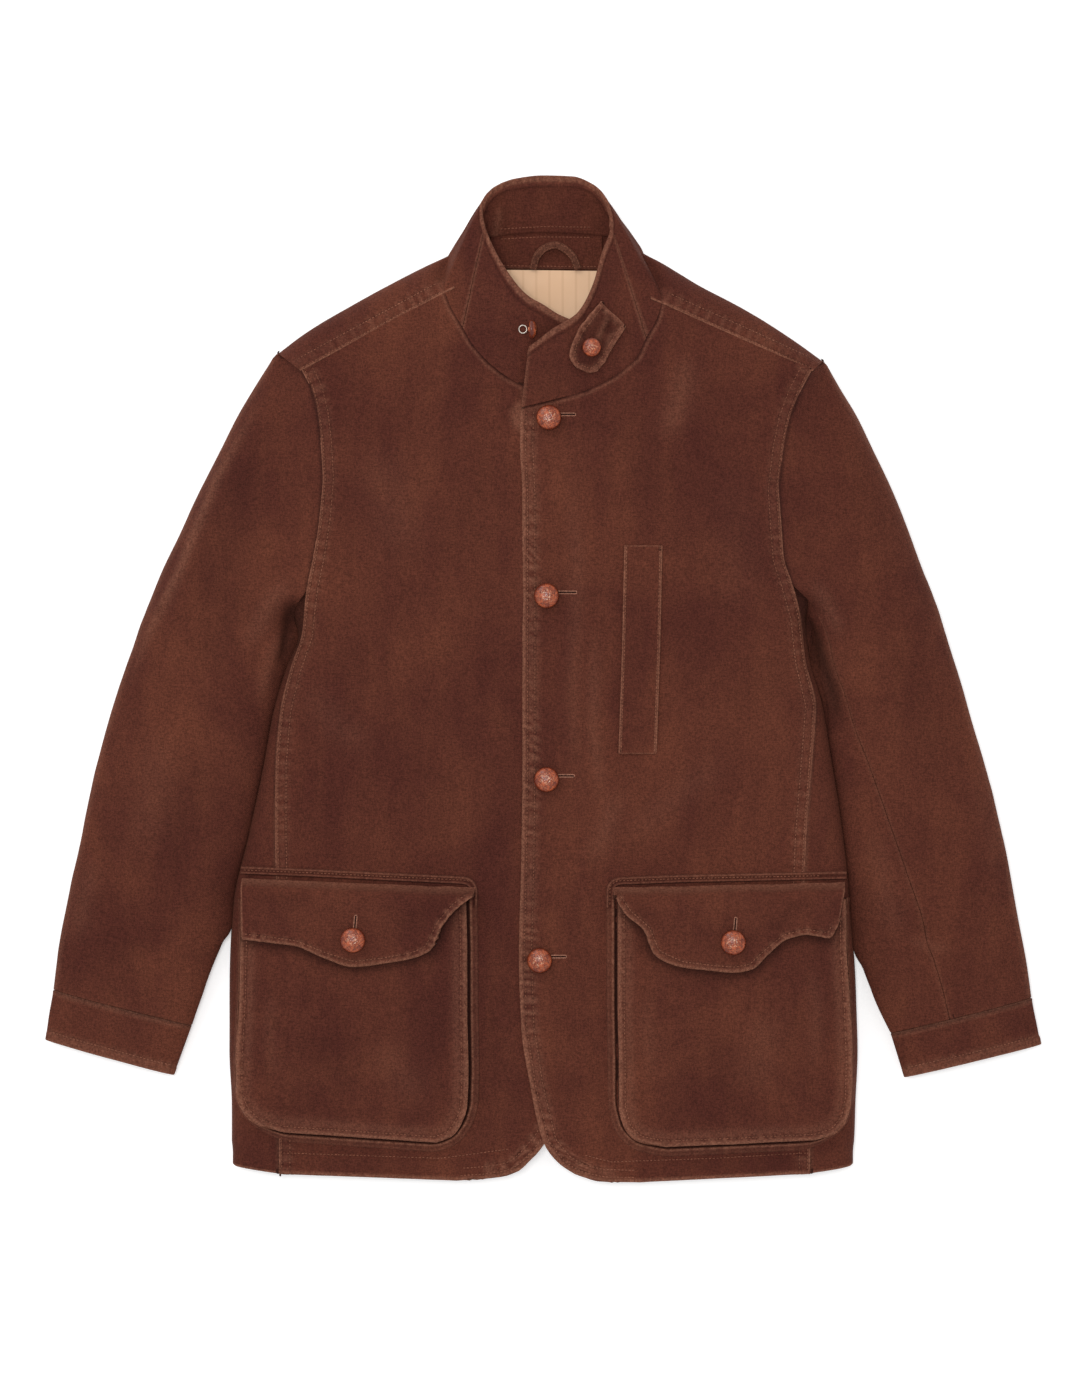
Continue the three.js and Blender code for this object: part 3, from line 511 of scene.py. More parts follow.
class Cloth:
    """A grid of points on the face of a piece of cloth, how worn each one is, and how much shade is painted
    into its colour.
    Rows run down the garment and columns to the right, so its normals point outwards."""

    def __init__(self, points):
        self.points = np.asarray(points, float)
        self.worn = np.zeros(self.points.shape[:2])
        self.painted_shade = np.zeros(self.points.shape[:2])

    @property
    def x(self):
        return self.points[..., 0]

    @property
    def y(self):
        return self.points[..., 1]

    def lift(self, height):
        """Moves the face along its normals, wherever it looks up."""
        out = normals(self.points)
        looks_up = smooth((out[..., 2] - 0.05) / 0.3)
        self.points = self.points + out * (height * looks_up)[..., None]

    def wear(self, worn):
        self.worn = np.maximum(self.worn, worn)

    # paints shade into the cloth's colour: a darkening mark where shade falls, in creases, grooves, seams
    # and under edges
    def shade(self, painted_shade):
        self.painted_shade = np.maximum(self.painted_shade, painted_shade)

    def seam(self, line, rows, seed, **relief):
        height, worn, painted_shade = welt(self.x, self.y, line, rows, seed, **relief)
        self.lift(height)
        self.wear(worn)
        self.shade(painted_shade)

    def fold(self, ends, width, height, worn=0.0):
        shape = fold(self.x, self.y, ends, width, 1.0)
        self.lift(height * shape)
        self.wear(worn * shape)
        # troughs get painted shade, darker the deeper they are
        self.shade(np.clip(-height / 9, 0, 0.8) * shape)

    def folds(self, table):
        for row in table:
            self.fold(*row)

    def round_off(self, line, radius, drop, worn=0.8):
        """Bends the face down over its last stretch to an outline."""
        gap, _ = from_line(self.x, self.y, line)
        near = np.clip(1 - gap / radius, 0, 1)
        self.points[..., 2] -= drop * (1 - np.sqrt(1 - near * near))
        self.wear(worn * smooth(1.6 - gap / radius))

    def roll(self, side, radius, worn=0.6, under=3.0):
        """Turns one edge down and under, as cloth does at a seam or a hem."""
        rows = TURNS[side](self.points)
        marks = TURNS[side](self.worn)
        dark = TURNS[side](self.painted_shade)
        out_of = TURNS[side](normals(self.points))[0]
        reach = np.linalg.norm(rows - rows[0], axis=-1).mean(axis=1)
        keep = int(np.searchsorted(reach, radius + 0.3))
        away = rows[0] - rows[keep]
        size = np.minimum(np.linalg.norm(away, axis=-1, keepdims=True), radius)
        away = unit(away - out_of * (away * out_of).sum(axis=-1, keepdims=True))
        centre = rows[0] - (away + out_of) * size
        curve = [centre + size * (away * math.sin(a) + out_of * math.cos(a))
                 for a in np.radians([180, 140, 100, 60, 25, 0])]
        tucked = curve[0] - away * size * under / radius
        turned = np.concatenate([[tucked], curve, rows[keep:]])
        edge = np.maximum(marks[0], worn)
        marks = np.concatenate([[edge * share for share in (0, 0, 0.3, 0.8, 1, 0.9, 0.6)], marks[keep:]])
        # painted shade where the edge turns under at a seam or hem
        dark = np.concatenate([[np.maximum(dark[0], s) for s in (1, 1, 0.7, 0.3, 0, 0, 0)], dark[keep:]])
        self.points = TURNS_BACK[side](turned)
        self.worn = TURNS_BACK[side](marks)
        self.painted_shade = TURNS_BACK[side](dark)

    def quads(self):
        rows, columns = self.points.shape[:2]
        i = np.arange(rows - 1)[:, None] * columns + np.arange(columns - 1)[None, :]
        return np.stack([i, i + columns, i + columns + 1, i + 1], axis=-1).reshape(-1, 4)

    def tree(self):
        return BVHTree.FromPolygons(self.points.reshape(-1, 3).tolist(), self.quads().tolist())


def mesh_object(name, points, faces, material, marks=None):
    """A mesh object from millimetre points and faces that all have the same number of corners."""
    points = np.asarray(points, float)
    faces = np.asarray(faces, int)
    mesh = bpy.data.meshes.new(name)
    mesh.vertices.add(len(points))
    mesh.vertices.foreach_set("co", (points * MM).ravel())
    corners = faces.shape[1]
    mesh.loops.add(faces.size)
    mesh.loops.foreach_set("vertex_index", faces.ravel())
    mesh.polygons.add(len(faces))
    mesh.polygons.foreach_set("loop_start", np.arange(len(faces)) * corners)
    mesh.polygons.foreach_set("use_smooth", np.ones(len(faces), bool))
    mesh.update(calc_edges=True)
    for label, values in (marks or {}).items():
        values = np.asarray(values, float)
        kind = "FLOAT" if values.ndim == 1 else "FLOAT_VECTOR"
        attribute = mesh.attributes.new(label, kind, "POINT")
        attribute.data.foreach_set("value" if values.ndim == 1 else "vector", values.ravel())
    mesh.materials.append(material)
    piece = bpy.data.objects.new(name, mesh)
    bpy.context.collection.objects.link(piece)
    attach(piece, "root")
    return piece


def cloth_object(name, cloths, material):
    """One piece from one or more grids of cloth."""
    points, faces, worn, painted_shade, start = [], [], [], [], 0
    for cloth in cloths:
        cloth.points[..., 2] = np.maximum(cloth.points[..., 2], FLOOR_GAP)
        points.append(cloth.points.reshape(-1, 3))
        faces.append(cloth.quads() + start)
        worn.append(cloth.worn.ravel())
        painted_shade.append(cloth.painted_shade.ravel())
        start += cloth.worn.size
    return mesh_object(name, np.concatenate(points), np.concatenate(faces), material,
                       {"worn": np.concatenate(worn), "painted_shade": np.concatenate(painted_shade)})


def dress(node, cloths):
    """A piece of shell cloth that stands for a CAD node."""
    piece = cloth_object(f"{node}_cloth", cloths, SHELL)
    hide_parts(node)


def panel(table, height, spacing=GRID, fine=True):
    """Cloth between a left and a right line, at the height of a surface."""
    rows = refine(table, spacing, fine_low=fine, fine_high=fine)
    width = np.linalg.norm(rows[:, 2:4] - rows[:, :2], axis=1).mean()
    share = stations(width, spacing, fine, fine) / width
    plan = rows[:, None, :2] + (rows[:, None, 2:4] - rows[:, None, :2]) * share[None, :, None]
    level = height(plan[..., 0], plan[..., 1])
    return Cloth(np.concatenate([plan, np.broadcast_to(level, plan.shape[:2])[..., None]], axis=-1))


# Thread

STITCH_LENGTH = 2.3
STITCH_PITCH = 3.2


def below(tree, x, y):
    """The first spot of a mesh straight below a place, and the normal there."""
    return tree.ray_cast(Vector((x, y, LOOK_DOWN)), Vector((0, 0, -1)))[:2]


def laid(direction, up):
    """A direction in plan, laid on a face."""
    along = Vector((*direction, 0))
    return (along - up * along.dot(up)).normalized()


def beside(line, offset):
    """A polyline moved sideways, to its left when the offset is positive."""
    line = np.asarray(line, float)
    step = unit(np.gradient(line, axis=0))
    return line + offset * np.stack([-step[:, 1], step[:, 0]], axis=1)


def trimmed(line, start=0.0, end=0.0):
    line = np.asarray(line, float)
    keys = lengths(line)
    at = np.linspace(start, keys[-1] - end, max(int((keys[-1] - start - end) / 4), 2))
    return np.stack([np.interp(at, keys, line[:, i]) for i in (0, 1)], axis=1)


class Thread:
    """Stitches of one piece, each a short rounded bar on the cloth's face."""

    def __init__(self):
        self.points = []
        self.faces = []

    def stitch(self, middle, along, up, length=STITCH_LENGTH, width=0.75, height=0.5):
        across = along.cross(up).normalized()
        start = len(self.points)
        for share, scale in ((-0.5, 0.35), (-0.3, 1.0), (0.3, 1.0), (0.5, 0.35)):
            spot = middle + along * (share * length)
            drop = up * (-0.25 if scale < 1 else 0.0)
            for side, rise_by in ((-0.5, 0.0), (-0.28, 0.85), (0.28, 0.85), (0.5, 0.0)):
                over = across * (side * width * scale)
                self.points.append(spot + over + up * (rise_by * height * scale) + drop)
        for i in range(3):
            for j in range(3):
                a = start + i * 4 + j
                self.faces.append((a, a + 1, a + 5, a + 4))

    def row(self, tree, line, seed, pitch=STITCH_PITCH, length=STITCH_LENGTH):
        rng = np.random.default_rng(seed)
        keys = lengths(np.asarray(line, float))
        count = int(keys[-1] / pitch)
        at = (np.arange(count) + 0.5 + rng.uniform(-0.06, 0.06, count)) * pitch
        spots = [np.interp(at, keys, np.asarray(line)[:, i]) for i in (0, 1)]
        steps = np.gradient(np.asarray(line, float), keys, axis=0)
        turns = [np.interp(at, keys, steps[:, i]) for i in (0, 1)]
        for x, y, dx, dy in zip(*spots, *turns):
            hit, up = below(tree, x, y)
            if hit is not None and up.z >= 0.2:
                self.stitch(hit, laid((dx, dy), up), up, length * rng.uniform(0.9, 1.08))

    def buttonhole(self, tree, start, end, seed, width=3.4):
        """A slit held by close stitches across both its edges."""
        start, end = np.asarray(start, float), np.asarray(end, float)
        step = unit(end - start)
        side = np.array([-step[1], step[0]])
        rng = np.random.default_rng(seed)
        size = math.dist(start, end)
        places = [(at, sign, 1.25) for at in np.arange(0.4, size, 0.85) for sign in (-1, 1)]
        places += [(at, sign * 0.45, 1.6) for at in (-0.4, size + 0.4) for sign in (-1, 1)]
        for at, sign, length in places:
            spot = start + step * at + side * sign * width / 4
            hit, up = below(tree, *spot)
            if hit is not None:
                self.stitch(hit, laid(side, up), up, length * rng.uniform(0.9, 1.1), 0.8, 0.55)

    def cut(self, tree, start, end):
        """Painted shadow for the slit between a buttonhole's edges: a near-black strip laid on the cloth.
        """
        start, end = np.asarray(start, float), np.asarray(end, float)
        for share in np.linspace(0.08, 0.92, 8):
            hit, up = below(tree, *mix(start, end, share))
            self.stitch(hit, laid(unit(end - start), up), up, math.dist(start, end) / 4, 1.3, 0.3)

    def build(self, name, material):
        piece = mesh_object(name, [tuple(p) for p in self.points], self.faces, material)


# Materials

class Nodes:
    """Short calls for building a material's node tree."""

    def __init__(self, name):
        self.material = bpy.data.materials.new(name)
        self.material.use_nodes = True
        self.tree = self.material.node_tree
        self.shader = self.tree.nodes["Principled BSDF"]

    def add(self, kind, inputs=None, **options):
        node = self.tree.nodes.new(kind)
        for key, value in options.items():
            setattr(node, key, value)
        for key, value in (inputs or {}).items():
            self.put(value, node.inputs[key])
        return node

    def put(self, value, socket):
        if isinstance(value, bpy.types.NodeSocket):
            self.tree.links.new(value, socket)
        else:
            socket.default_value = value

    def maths(self, operation, a, b, clamp=False):
        return self.add("ShaderNodeMath", {0: a, 1: b}, operation=operation, use_clamp=clamp).outputs[0]

    def noise(self, place, scale, detail=3.0, roughness=0.55, distortion=0.0):
        inputs = {"Vector": place, "Scale": scale, "Detail": detail, "Roughness": roughness,
                  "Distortion": distortion}
        return self.add("ShaderNodeTexNoise", inputs).outputs["Fac"]

    def blend(self, share, low, high):
        node = self.add("ShaderNodeMix", data_type="RGBA")
        self.put(share, node.inputs["Factor"])
        self.put(low, node.inputs["A"])
        self.put(high, node.inputs["B"])
        return node.outputs["Result"]

    def spread(self, value, low, high, low_out=0.0, high_out=1.0):
        inputs = {"Value": value, "From Min": low, "From Max": high, "To Min": low_out, "To Max": high_out}
        return self.add("ShaderNodeMapRange", inputs, interpolation_type="SMOOTHSTEP").outputs["Result"]

    def bump(self, height, strength, distance):
        inputs = {"Height": height, "Strength": strength, "Distance": distance}
        return self.add("ShaderNodeBump", inputs).outputs["Normal"]

    def surface(self, inputs):
        """Sets the shader's own sockets."""
        for label, value in inputs.items():
            self.put(value, self.shader.inputs[label])

    def place(self, scale=(1, 1, 1), angle=0.0):
        source = self.add("ShaderNodeTexCoord").outputs["Object"]
        inputs = {"Vector": source, "Scale": scale, "Rotation": (0, 0, angle)}
        return self.add("ShaderNodeMapping", inputs).outputs["Vector"]

    def mark(self, label):
        return self.add("ShaderNodeAttribute", attribute_name=label).outputs["Fac"]


def color(red, green, blue):
    """A node colour from one read off the screen."""
    channels = [channel / 255 for channel in (red, green, blue)]
    return (*[c / 12.92 if c <= 0.04045 else ((c + 0.055) / 1.055) ** 2.4 for c in channels], 1)


def brushed_cotton(name, dark, light, worn, weave=1.0):
    """Garment-dyed cotton: fine twill, soft nap, mottled fading, paler where it is worn, and darkened by
    painted shade in creases, grooves and under edges.
    """
    n = Nodes(name)
    flat = n.place()
    cloudy = n.noise(flat, 8.0, 5.0, 0.62, 0.5)
    streaks = n.noise(n.place((30, 6, 8)), 1.0, 4.0, 0.65, 0.3)
    grain = n.noise(flat, 620.0, 2.0, 0.7)
    speck = n.noise(flat, 1500.0, 1.0, 0.6)
    warp = n.noise(n.place((1500, 240, 400)), 1.0, 1.0, 0.5)
    weft = n.noise(n.place((240, 1500, 400)), 1.0, 1.0, 0.5)
    waves = {"Vector": n.place(angle=0.9), "Scale": 260.0, "Distortion": 1.2, "Detail": 1.0,
             "Detail Scale": 6.0}
    twill = n.add("ShaderNodeTexWave", waves, bands_direction="X").outputs["Fac"]
    faded = n.maths("ADD", n.maths("MULTIPLY", n.spread(cloudy, 0.34, 0.72), 0.7),
                    n.maths("MULTIPLY", n.spread(streaks, 0.36, 0.72), 0.45), True)
    base = n.blend(faded, dark, light)
    rubbed = n.noise(flat, 420.0, 3.0, 0.7)
    wear = n.maths("MULTIPLY", n.mark("worn"), n.spread(rubbed, 0.3, 0.62, 0.35, 1.0), True)
    base = n.blend(wear, base, worn)
    # painted shade: the shade mark darkens the colour towards near-black in creases, grooves and under
    # edges
    base = n.blend(n.maths("MULTIPLY", n.mark("painted_shade"), 0.75), base, color(30, 13, 10))
    thread = n.maths("ADD", n.maths("MULTIPLY", grain, 0.4), n.maths("MULTIPLY", speck, 0.2))
    crossed = n.maths("ADD", n.maths("MULTIPLY", warp, 0.2), n.maths("MULTIPLY", weft, 0.2))
    thread = n.maths("ADD", thread, crossed)
    shade = n.spread(thread, 0.36, 0.64, 0.62, 1.38)
    tone = n.add("ShaderNodeCombineXYZ", {0: shade, 1: shade, 2: shade}).outputs[0]
    scaled = n.add("ShaderNodeVectorMath", {0: base, 1: tone}, operation="MULTIPLY")
    height = n.maths("ADD", n.maths("MULTIPLY", twill, 0.45 * weave), thread)
    n.surface({"Base Color": scaled.outputs[0], "Normal": n.bump(height, 0.5, 0.0006), "Roughness": 0.93,
               "Specular IOR Level": 0.12, "Sheen Weight": 0.09, "Sheen Roughness": 0.5,
               "Sheen Tint": color(180, 112, 84)})
    return n.material


def lining_cloth():
    """Smooth cream lining with faint stripes down the body."""
    n = Nodes("lining_cloth")
    waves = {"Vector": n.place(), "Scale": 27.0, "Distortion": 0.15, "Detail": 0.0}
    stripes = n.add("ShaderNodeTexWave", waves, bands_direction="X", wave_profile="SIN").outputs["Fac"]
    thin = n.spread(stripes, 0.86, 0.98, 0.0, 0.28)
    cloud = n.noise(n.place(), 14.0)
    base = n.blend(n.spread(cloud, 0.3, 0.7), color(236, 194, 156), color(226, 182, 142))
    thread = n.noise(n.place((1, 0.25, 1)), 1800.0, 1.0)
    n.surface({"Base Color": n.blend(thin, base, color(200, 152, 112)), "Roughness": 0.6,
               "Normal": n.bump(thread, 0.25, 0.0003), "Sheen Weight": 0.1})
    return n.material


def button_leather():
    """Polished chestnut leather, darker in the grooves of its weave, with pale specks on the dome's top
    that are partly wear and partly a painted highlight, and a darker edge ring that is partly the leather's
    own edge and partly painted shade.
    """
    n = Nodes("button_leather")
    near = n.add("ShaderNodeAttribute", attribute_name="near").outputs["Vector"]
    cloud = n.noise(near, 260.0, 3.0, 0.65)
    cells = n.add("ShaderNodeTexVoronoi", {"Vector": near, "Scale": 900.0}).outputs["Distance"]
    base = n.blend(n.spread(cloud, 0.34, 0.68), color(114, 45, 23), color(178, 86, 48))
    base = n.blend(n.spread(n.mark("groove"), 0.25, 0.9), base, color(70, 22, 14))
    # pale specks, strongest on the dome's top and gone at its edge: partly worn leather, partly a painted
    # highlight
    fading = n.spread(n.mark("rim"), 0.15, 0.85, 0.7, 0)
    pale_wear_and_highlight = n.maths("MULTIPLY", n.spread(n.noise(near, 620.0, 2.0, 0.7), 0.53, 0.64), fading)
    base = n.blend(pale_wear_and_highlight, base, color(246, 190, 150))
    # darker ring at the dome's edge: partly the leather's own darker edge, partly painted shade where the
    # dome turns down to the cloth
    rim = n.spread(n.mark("rim"), 0.84, 1.02)
    height = n.maths("ADD", n.maths("MULTIPLY", cells, 0.7), n.maths("MULTIPLY", cloud, 0.4))
    n.surface({"Base Color": n.blend(rim, base, color(86, 30, 16)), "Normal": n.bump(height, 0.45, 0.0004),
               "Roughness": n.spread(cloud, 0.3, 0.7, 0.26, 0.44), "Specular IOR Level": 0.35,
               "Coat Weight": 0.3, "Coat Roughness": 0.18})
    return n.material


def wire_steel():
    n = Nodes("shank_wire")
    scratch = n.noise(n.place((1, 1, 9)), 500.0, 2.0)
    base = n.blend(n.spread(scratch, 0.3, 0.7), color(150, 140, 130), color(196, 186, 176))
    n.surface({"Base Color": base, "Roughness": n.spread(scratch, 0.3, 0.7, 0.25, 0.45), "Metallic": 1.0})
    return n.material


def paper_floor():
    n = Nodes("paper_floor")
    cloud = n.noise(n.place(), 3.0)
    n.surface({"Base Color": n.blend(cloud, color(232, 232, 232), color(236, 235, 234)), "Roughness": 0.95,
               "Emission Color": (1, 1, 1, 1), "Emission Strength": 0.4})
    return n.material


SHELL = brushed_cotton("shell_cloth", color(72, 34, 27), color(94, 50, 36), color(134, 88, 69))
THREAD = brushed_cotton("shell_thread", color(116, 70, 54), color(138, 90, 70), color(150, 104, 82), 0.3)
HOLE_THREAD = brushed_cotton("hole_thread", color(142, 96, 78), color(166, 118, 98),
                             color(180, 132, 110), 0.3)
# near-black cloth laid in each buttonhole's slit as a painted shadow
SLIT_SHADE_CLOTH = brushed_cotton("slit_shade_cloth", color(36, 16, 12), color(46, 21, 15), color(60, 30, 22), 0.3)
LINING_CLOTH = lining_cloth()
LEATHER = button_leather()
WIRE = wire_steel()
FLOOR = paper_floor()


# Fronts

def edges_of(body):
    table = np.array([row[:4] for row in body], float)
    return table[:, :2], table[:, 2:]


EDGE_RIGHT, SEAM_RIGHT = edges_of(BODY_RIGHT)
EDGE_LEFT, SEAM_LEFT = edges_of(BODY_LEFT)
SIDE_ROWS = (2.4, 9.6)  # stitch rows beside armhole and side seam
FRONT_ROWS = (4.6, 11.0)  # rows beside the front edge
HEM_ROW = 18.0


def front(seam, edge, left_is_seam, height, seed):
    table = np.hstack([seam, edge] if left_is_seam else [edge, seam])
    cloth = panel(table, height)
    x, y = cloth.x, cloth.y
    cloth.lift(0.55 * sag(x, y, seed, 130) + 0.25 * sag(x, y, seed + 1, 45))
    cloth.seam(seam, SIDE_ROWS, seed + 2, pucker=0.24)
    cloth.seam(edge[ARMPIT_ROW - 1:-1], FRONT_ROWS, seed + 3, pucker=0.5)
    hem_line = np.vstack([edge[-5:], seam[-1:]])
    gap, along = from_line(x, y, hem_line)
    cloth.lift(0.5 * smooth((HEM_ROW + 1 - gap) / 2.5) - 0.35 * peak(gap, 1.4, HEM_ROW)
               + 0.25 * ripple(along, seed + 4, 11) * peak(gap, 7, HEM_ROW))
    cloth.wear(0.5 * smooth((5 - gap) / 3))
    neck_gap, _ = from_line(x, y, edge[:ARMPIT_ROW])
    # painted shade along the seam where the collar meets the front
    cloth.shade(0.9 * peak(neck_gap, 1.6))
    cloth.wear(0.35 * peak(neck_gap, 1.4, 3))
    return cloth


right_front = front(SEAM_RIGHT, EDGE_RIGHT, True, under_lap_z, 10)
left_front = front(SEAM_LEFT, EDGE_LEFT, False, front_z, 20)

# Soft ridges and troughs: line, width, height, wear along it
FOLDS_RIGHT = [
    ([(-12, 190), (-14, 60), (-10, -60)], 7, 0.9, 0.1),
    ([(-40, 205), (-62, 150), (-70, 90)], 16, -0.8, 0.0),
    ([(-150, 215), (-130, 150), (-118, 90)], 22, 0.9, 0.1),
    ([(-200, 40), (-165, 10), (-120, -8)], 15, -0.9, 0.0),
    ([(-214, 0), (-180, -40), (-140, -70)], 14, 0.8, 0.1),
    ([(-95, -60), (-80, -110), (-84, -160)], 18, -0.7, 0.0),
]
FOLDS_LEFT = [
    ([(22, 205), (30, 100), (26, -20), (32, -120)], 7, 0.9, 0.12),
    ([(46, 60), (44, -40), (52, -130)], 6, 0.8, 0.16),
    ([(70, -90), (52, -140), (36, -170)], 10, 0.9, 0.16),
    ([(128, 290), (118, 240), (104, 200)], 11, 1.1, 0.2),
    ([(60, 240), (86, 190), (92, 140)], 18, -0.8, 0.0),
    ([(226, 30), (190, -10), (150, -30)], 15, -0.9, 0.0),
    ([(170, -60), (110, -110), (60, -150)], 13, 0.7, 0.1),
    ([(160, 200), (172, 120), (168, 40)], 24, 0.8, 0.05),
]


def finish_front(cloth, folds, edge, seam, seam_side, radius, drop, worn):
    """Creases, a front edge and hem that bend down, and seams turned under."""
    cloth.folds(folds)
    cloth.round_off(np.vstack([edge[ARMPIT_ROW - 1:], seam[-1:]]), radius, drop, worn)
    cloth.roll(seam_side, SEAM_ROLL, 0.75, under=0.8)
    cloth.roll("top", SEAM_ROLL, 0.1, under=0.8)


finish_front(right_front, FOLDS_RIGHT, EDGE_RIGHT, SEAM_RIGHT, "left", 2.4, 2.8, 0.7)
finish_front(left_front, FOLDS_LEFT, EDGE_LEFT, SEAM_LEFT, "right", 2.6, 3.0, 0.8)
dress("front_right", [right_front])
dress("front_left", [left_front])


# Sides and back

def side_panel(body, sign):
    above = np.array(body[ARMPIT_ROW - 1][2:4], float)
    armpit_y = body[ARMPIT_ROW][3]
    rows = [[*above, *(above + (sign * 17, -3))]]
    for row in body[ARMPIT_ROW:]:
        seam, side = np.array(row[2:4], float), np.array(row[4:6], float)
        rows.append([*(seam - (sign * TUCK, 0)), *side])
    rows = refine(rows)
    top = np.linspace(0, 1, 16) ** 0.8
    grid = []
    for x0, y0, x1, y1 in rows:
        x1 += sign * 6 * smooth((y1 - armpit_y + 30) / 24)
        plan = [(mix(x0, x1, t), mix(y0, y1, t)) for t in top]
        line = [(x, y, float(top_z(x, y) - 8 * smooth((y - armpit_y) / 20))) for x, y in plan]
        for angle in np.radians([15, 30, 50, 70, 90]):
            line.append((x1 - sign * ROLL * (1 - math.cos(angle)), y1, EDGE_Z * (1 - math.sin(angle))))
        line.append((x1 - sign * UNDER_SEAM, y1, 0.0))
        grid.append(line if sign > 0 else line[::-1])
    cloth = Cloth(grid)
    # painted shadow in the hollow under the arm, darkest towards the armpit
    cloth.shade(0.8 * smooth((cloth.y - armpit_y + 45) / 45))
    gap, _ = from_line(cloth.x, cloth.y, [row[2:4] for row in body[ARMPIT_ROW:]])
    # painted shade along the side seam
    cloth.shade(0.6 * peak(gap, 1.8))
    return cloth


for name, body, sign in (("right", BODY_RIGHT, -1), ("left", BODY_LEFT, 1)):
    cloth = side_panel(body, sign)
    cloth.lift(0.5 * sag(cloth.x, cloth.y, 31, 70))
    cloth.roll("left" if sign > 0 else "right", SEAM_ROLL, 0.5, under=0.6)
    cloth.roll("top", SEAM_ROLL, 0.4, under=0.6)
    cloth.roll("bottom", 1.9, 0.8)
    dress(f"side_{name}", [cloth])


def shoulder_lines(shoulder, body, sign):
    """The shoulder's outline, its seam, and its foot on the floor, from the sleeve to the neck."""
    outline = np.array([(sign * x, y) for x, y in shoulder], float)
    share = np.linspace(0, 1, len(outline))[:, None]
    seam = mix(np.array(body[0][2:4], float), np.array(body[0][:2], float), share)
    width = np.linalg.norm(seam - outline, axis=1, keepdims=True)
    return outline, seam - (0, 2 * TUCK), outline + (seam - outline) * ROLL / width


UNDER_SLEEVE = 0.4  # how far the strip runs on below sleeve and collar
UNDER_COLLAR = 10.0
STRIP_ROWS = (1.8, 10.5)  # stitch rows above the shoulder seam


def shoulder_strip(shoulder, body, sign):
    lines = refine(np.hstack(shoulder_lines(shoulder, body, sign)), 2.2)
    pairs = lines.reshape(len(lines), -1, 2)
    pairs[0] += UNDER_SLEEVE * unit(pairs[0] - pairs[3])
    pairs[0, 2] += 2.6 * unit(pairs[0, 2] - pairs[3, 2])
    pairs[-1] += UNDER_COLLAR * unit(pairs[-1] - pairs[-4])
    outline, seam, foot = lines[:, :2], lines[:, 2:4], lines[:, 4:]
    at_neck = smooth(1 - np.linalg.norm(outline - outline[-1], axis=1) / 30)
    grid = []
    for angle in np.radians([0, 25, 50, 70]):
        plan = mix(foot, outline, math.sin(angle))
        grid.append(np.hstack([plan, np.full((len(plan), 1), EDGE_Z * (1 - math.cos(angle)))]))
    for share in np.linspace(0, 1, 22):
        plan = mix(outline, seam, share)
        level = top_z(plan[:, 0], plan[:, 1])
        level = mix(level, np.interp(share, (0, 0.2, 1), (9, 11.5, level[-1])), at_neck)
        grid.append(np.hstack([plan, level[:, None]]))
    grid = np.array(grid)
    return Cloth(grid if sign < 0 else grid[:, ::-1])


BACK_WIDTH = 450.0  # nominal, to space its columns
HEM_RISE = 46.0  # of the back's hem behind the gap between the rounded front corners
BACK_Z = 0.6


def back_floor():
    right = shoulder_lines(SHOULDER_RIGHT, BODY_RIGHT, -1)[2]
    left = shoulder_lines(SHOULDER_LEFT, BODY_LEFT, 1)[2]
    neck = np.array([(-76, 379), (-52, 396), (0, 403), (52, 398), (84, 382)], float)
    top_row = np.vstack([right, neck, left[::-1]])
    share = (top_row[:, 0] - top_row[0, 0]) / (top_row[-1, 0] - top_row[0, 0])

    def ends(body, sign):
        return np.array([(row[4] - sign * UNDER_SEAM, row[5]) if len(row) > 4 else row[2:4]
                         for row in body], float)

    rows = [top_row]
    armpit_y = BODY_RIGHT[ARMPIT_ROW][5]
    for a, b in zip(ends(BODY_RIGHT, -1), ends(BODY_LEFT, 1)):
        bulge = top_row[:, 1] - mix(right[0, 1], left[0, 1], share)
        weight = np.clip((a[1] - armpit_y) / (right[0, 1] - armpit_y), 0, 1) ** 2
        plan = a + (b - a) * share[:, None]
        plan[:, 1] += bulge * weight
        rows.append(plan)
    table = refine(np.array(rows).reshape(len(rows), -1), 9.0, fine_low=False, fine_high=False)
    across = table.reshape(len(table), -1, 2)
    keys = share * BACK_WIDTH
    fine = np.stack([through(keys, row, np.linspace(0, BACK_WIDTH, 56)) for row in across])
    lower = smooth((-380 - fine[..., 1]) / 50)
    fine[..., 1] += HEM_RISE * lower * peak(fine[..., 0], 46)
    return Cloth(np.concatenate([fine, np.full((*fine.shape[:2], 1), BACK_Z)], axis=-1))


strips = []
for shoulder, body, sign in ((SHOULDER_RIGHT, BODY_RIGHT, -1), (SHOULDER_LEFT, BODY_LEFT, 1)):
    strip = shoulder_strip(shoulder, body, sign)
    line = shoulder_lines(shoulder, body, sign)[1]
    strip.lift(0.3 * sag(strip.x, strip.y, 41, 60))
    strip.seam(line, STRIP_ROWS, 42, pucker=0.18, puff=0.9)
    strip.roll("bottom", SEAM_ROLL, 0.8)
    strips.append((strip, line))
dress("back", [back_floor()] + [strip for strip, _ in strips])


# Sleeves and cuffs: rings that go over the top from the inner to the outer edge and back below

def turn_at(share):
    return math.copysign(math.acos(1 - 2 * abs(share)) / math.pi, share)


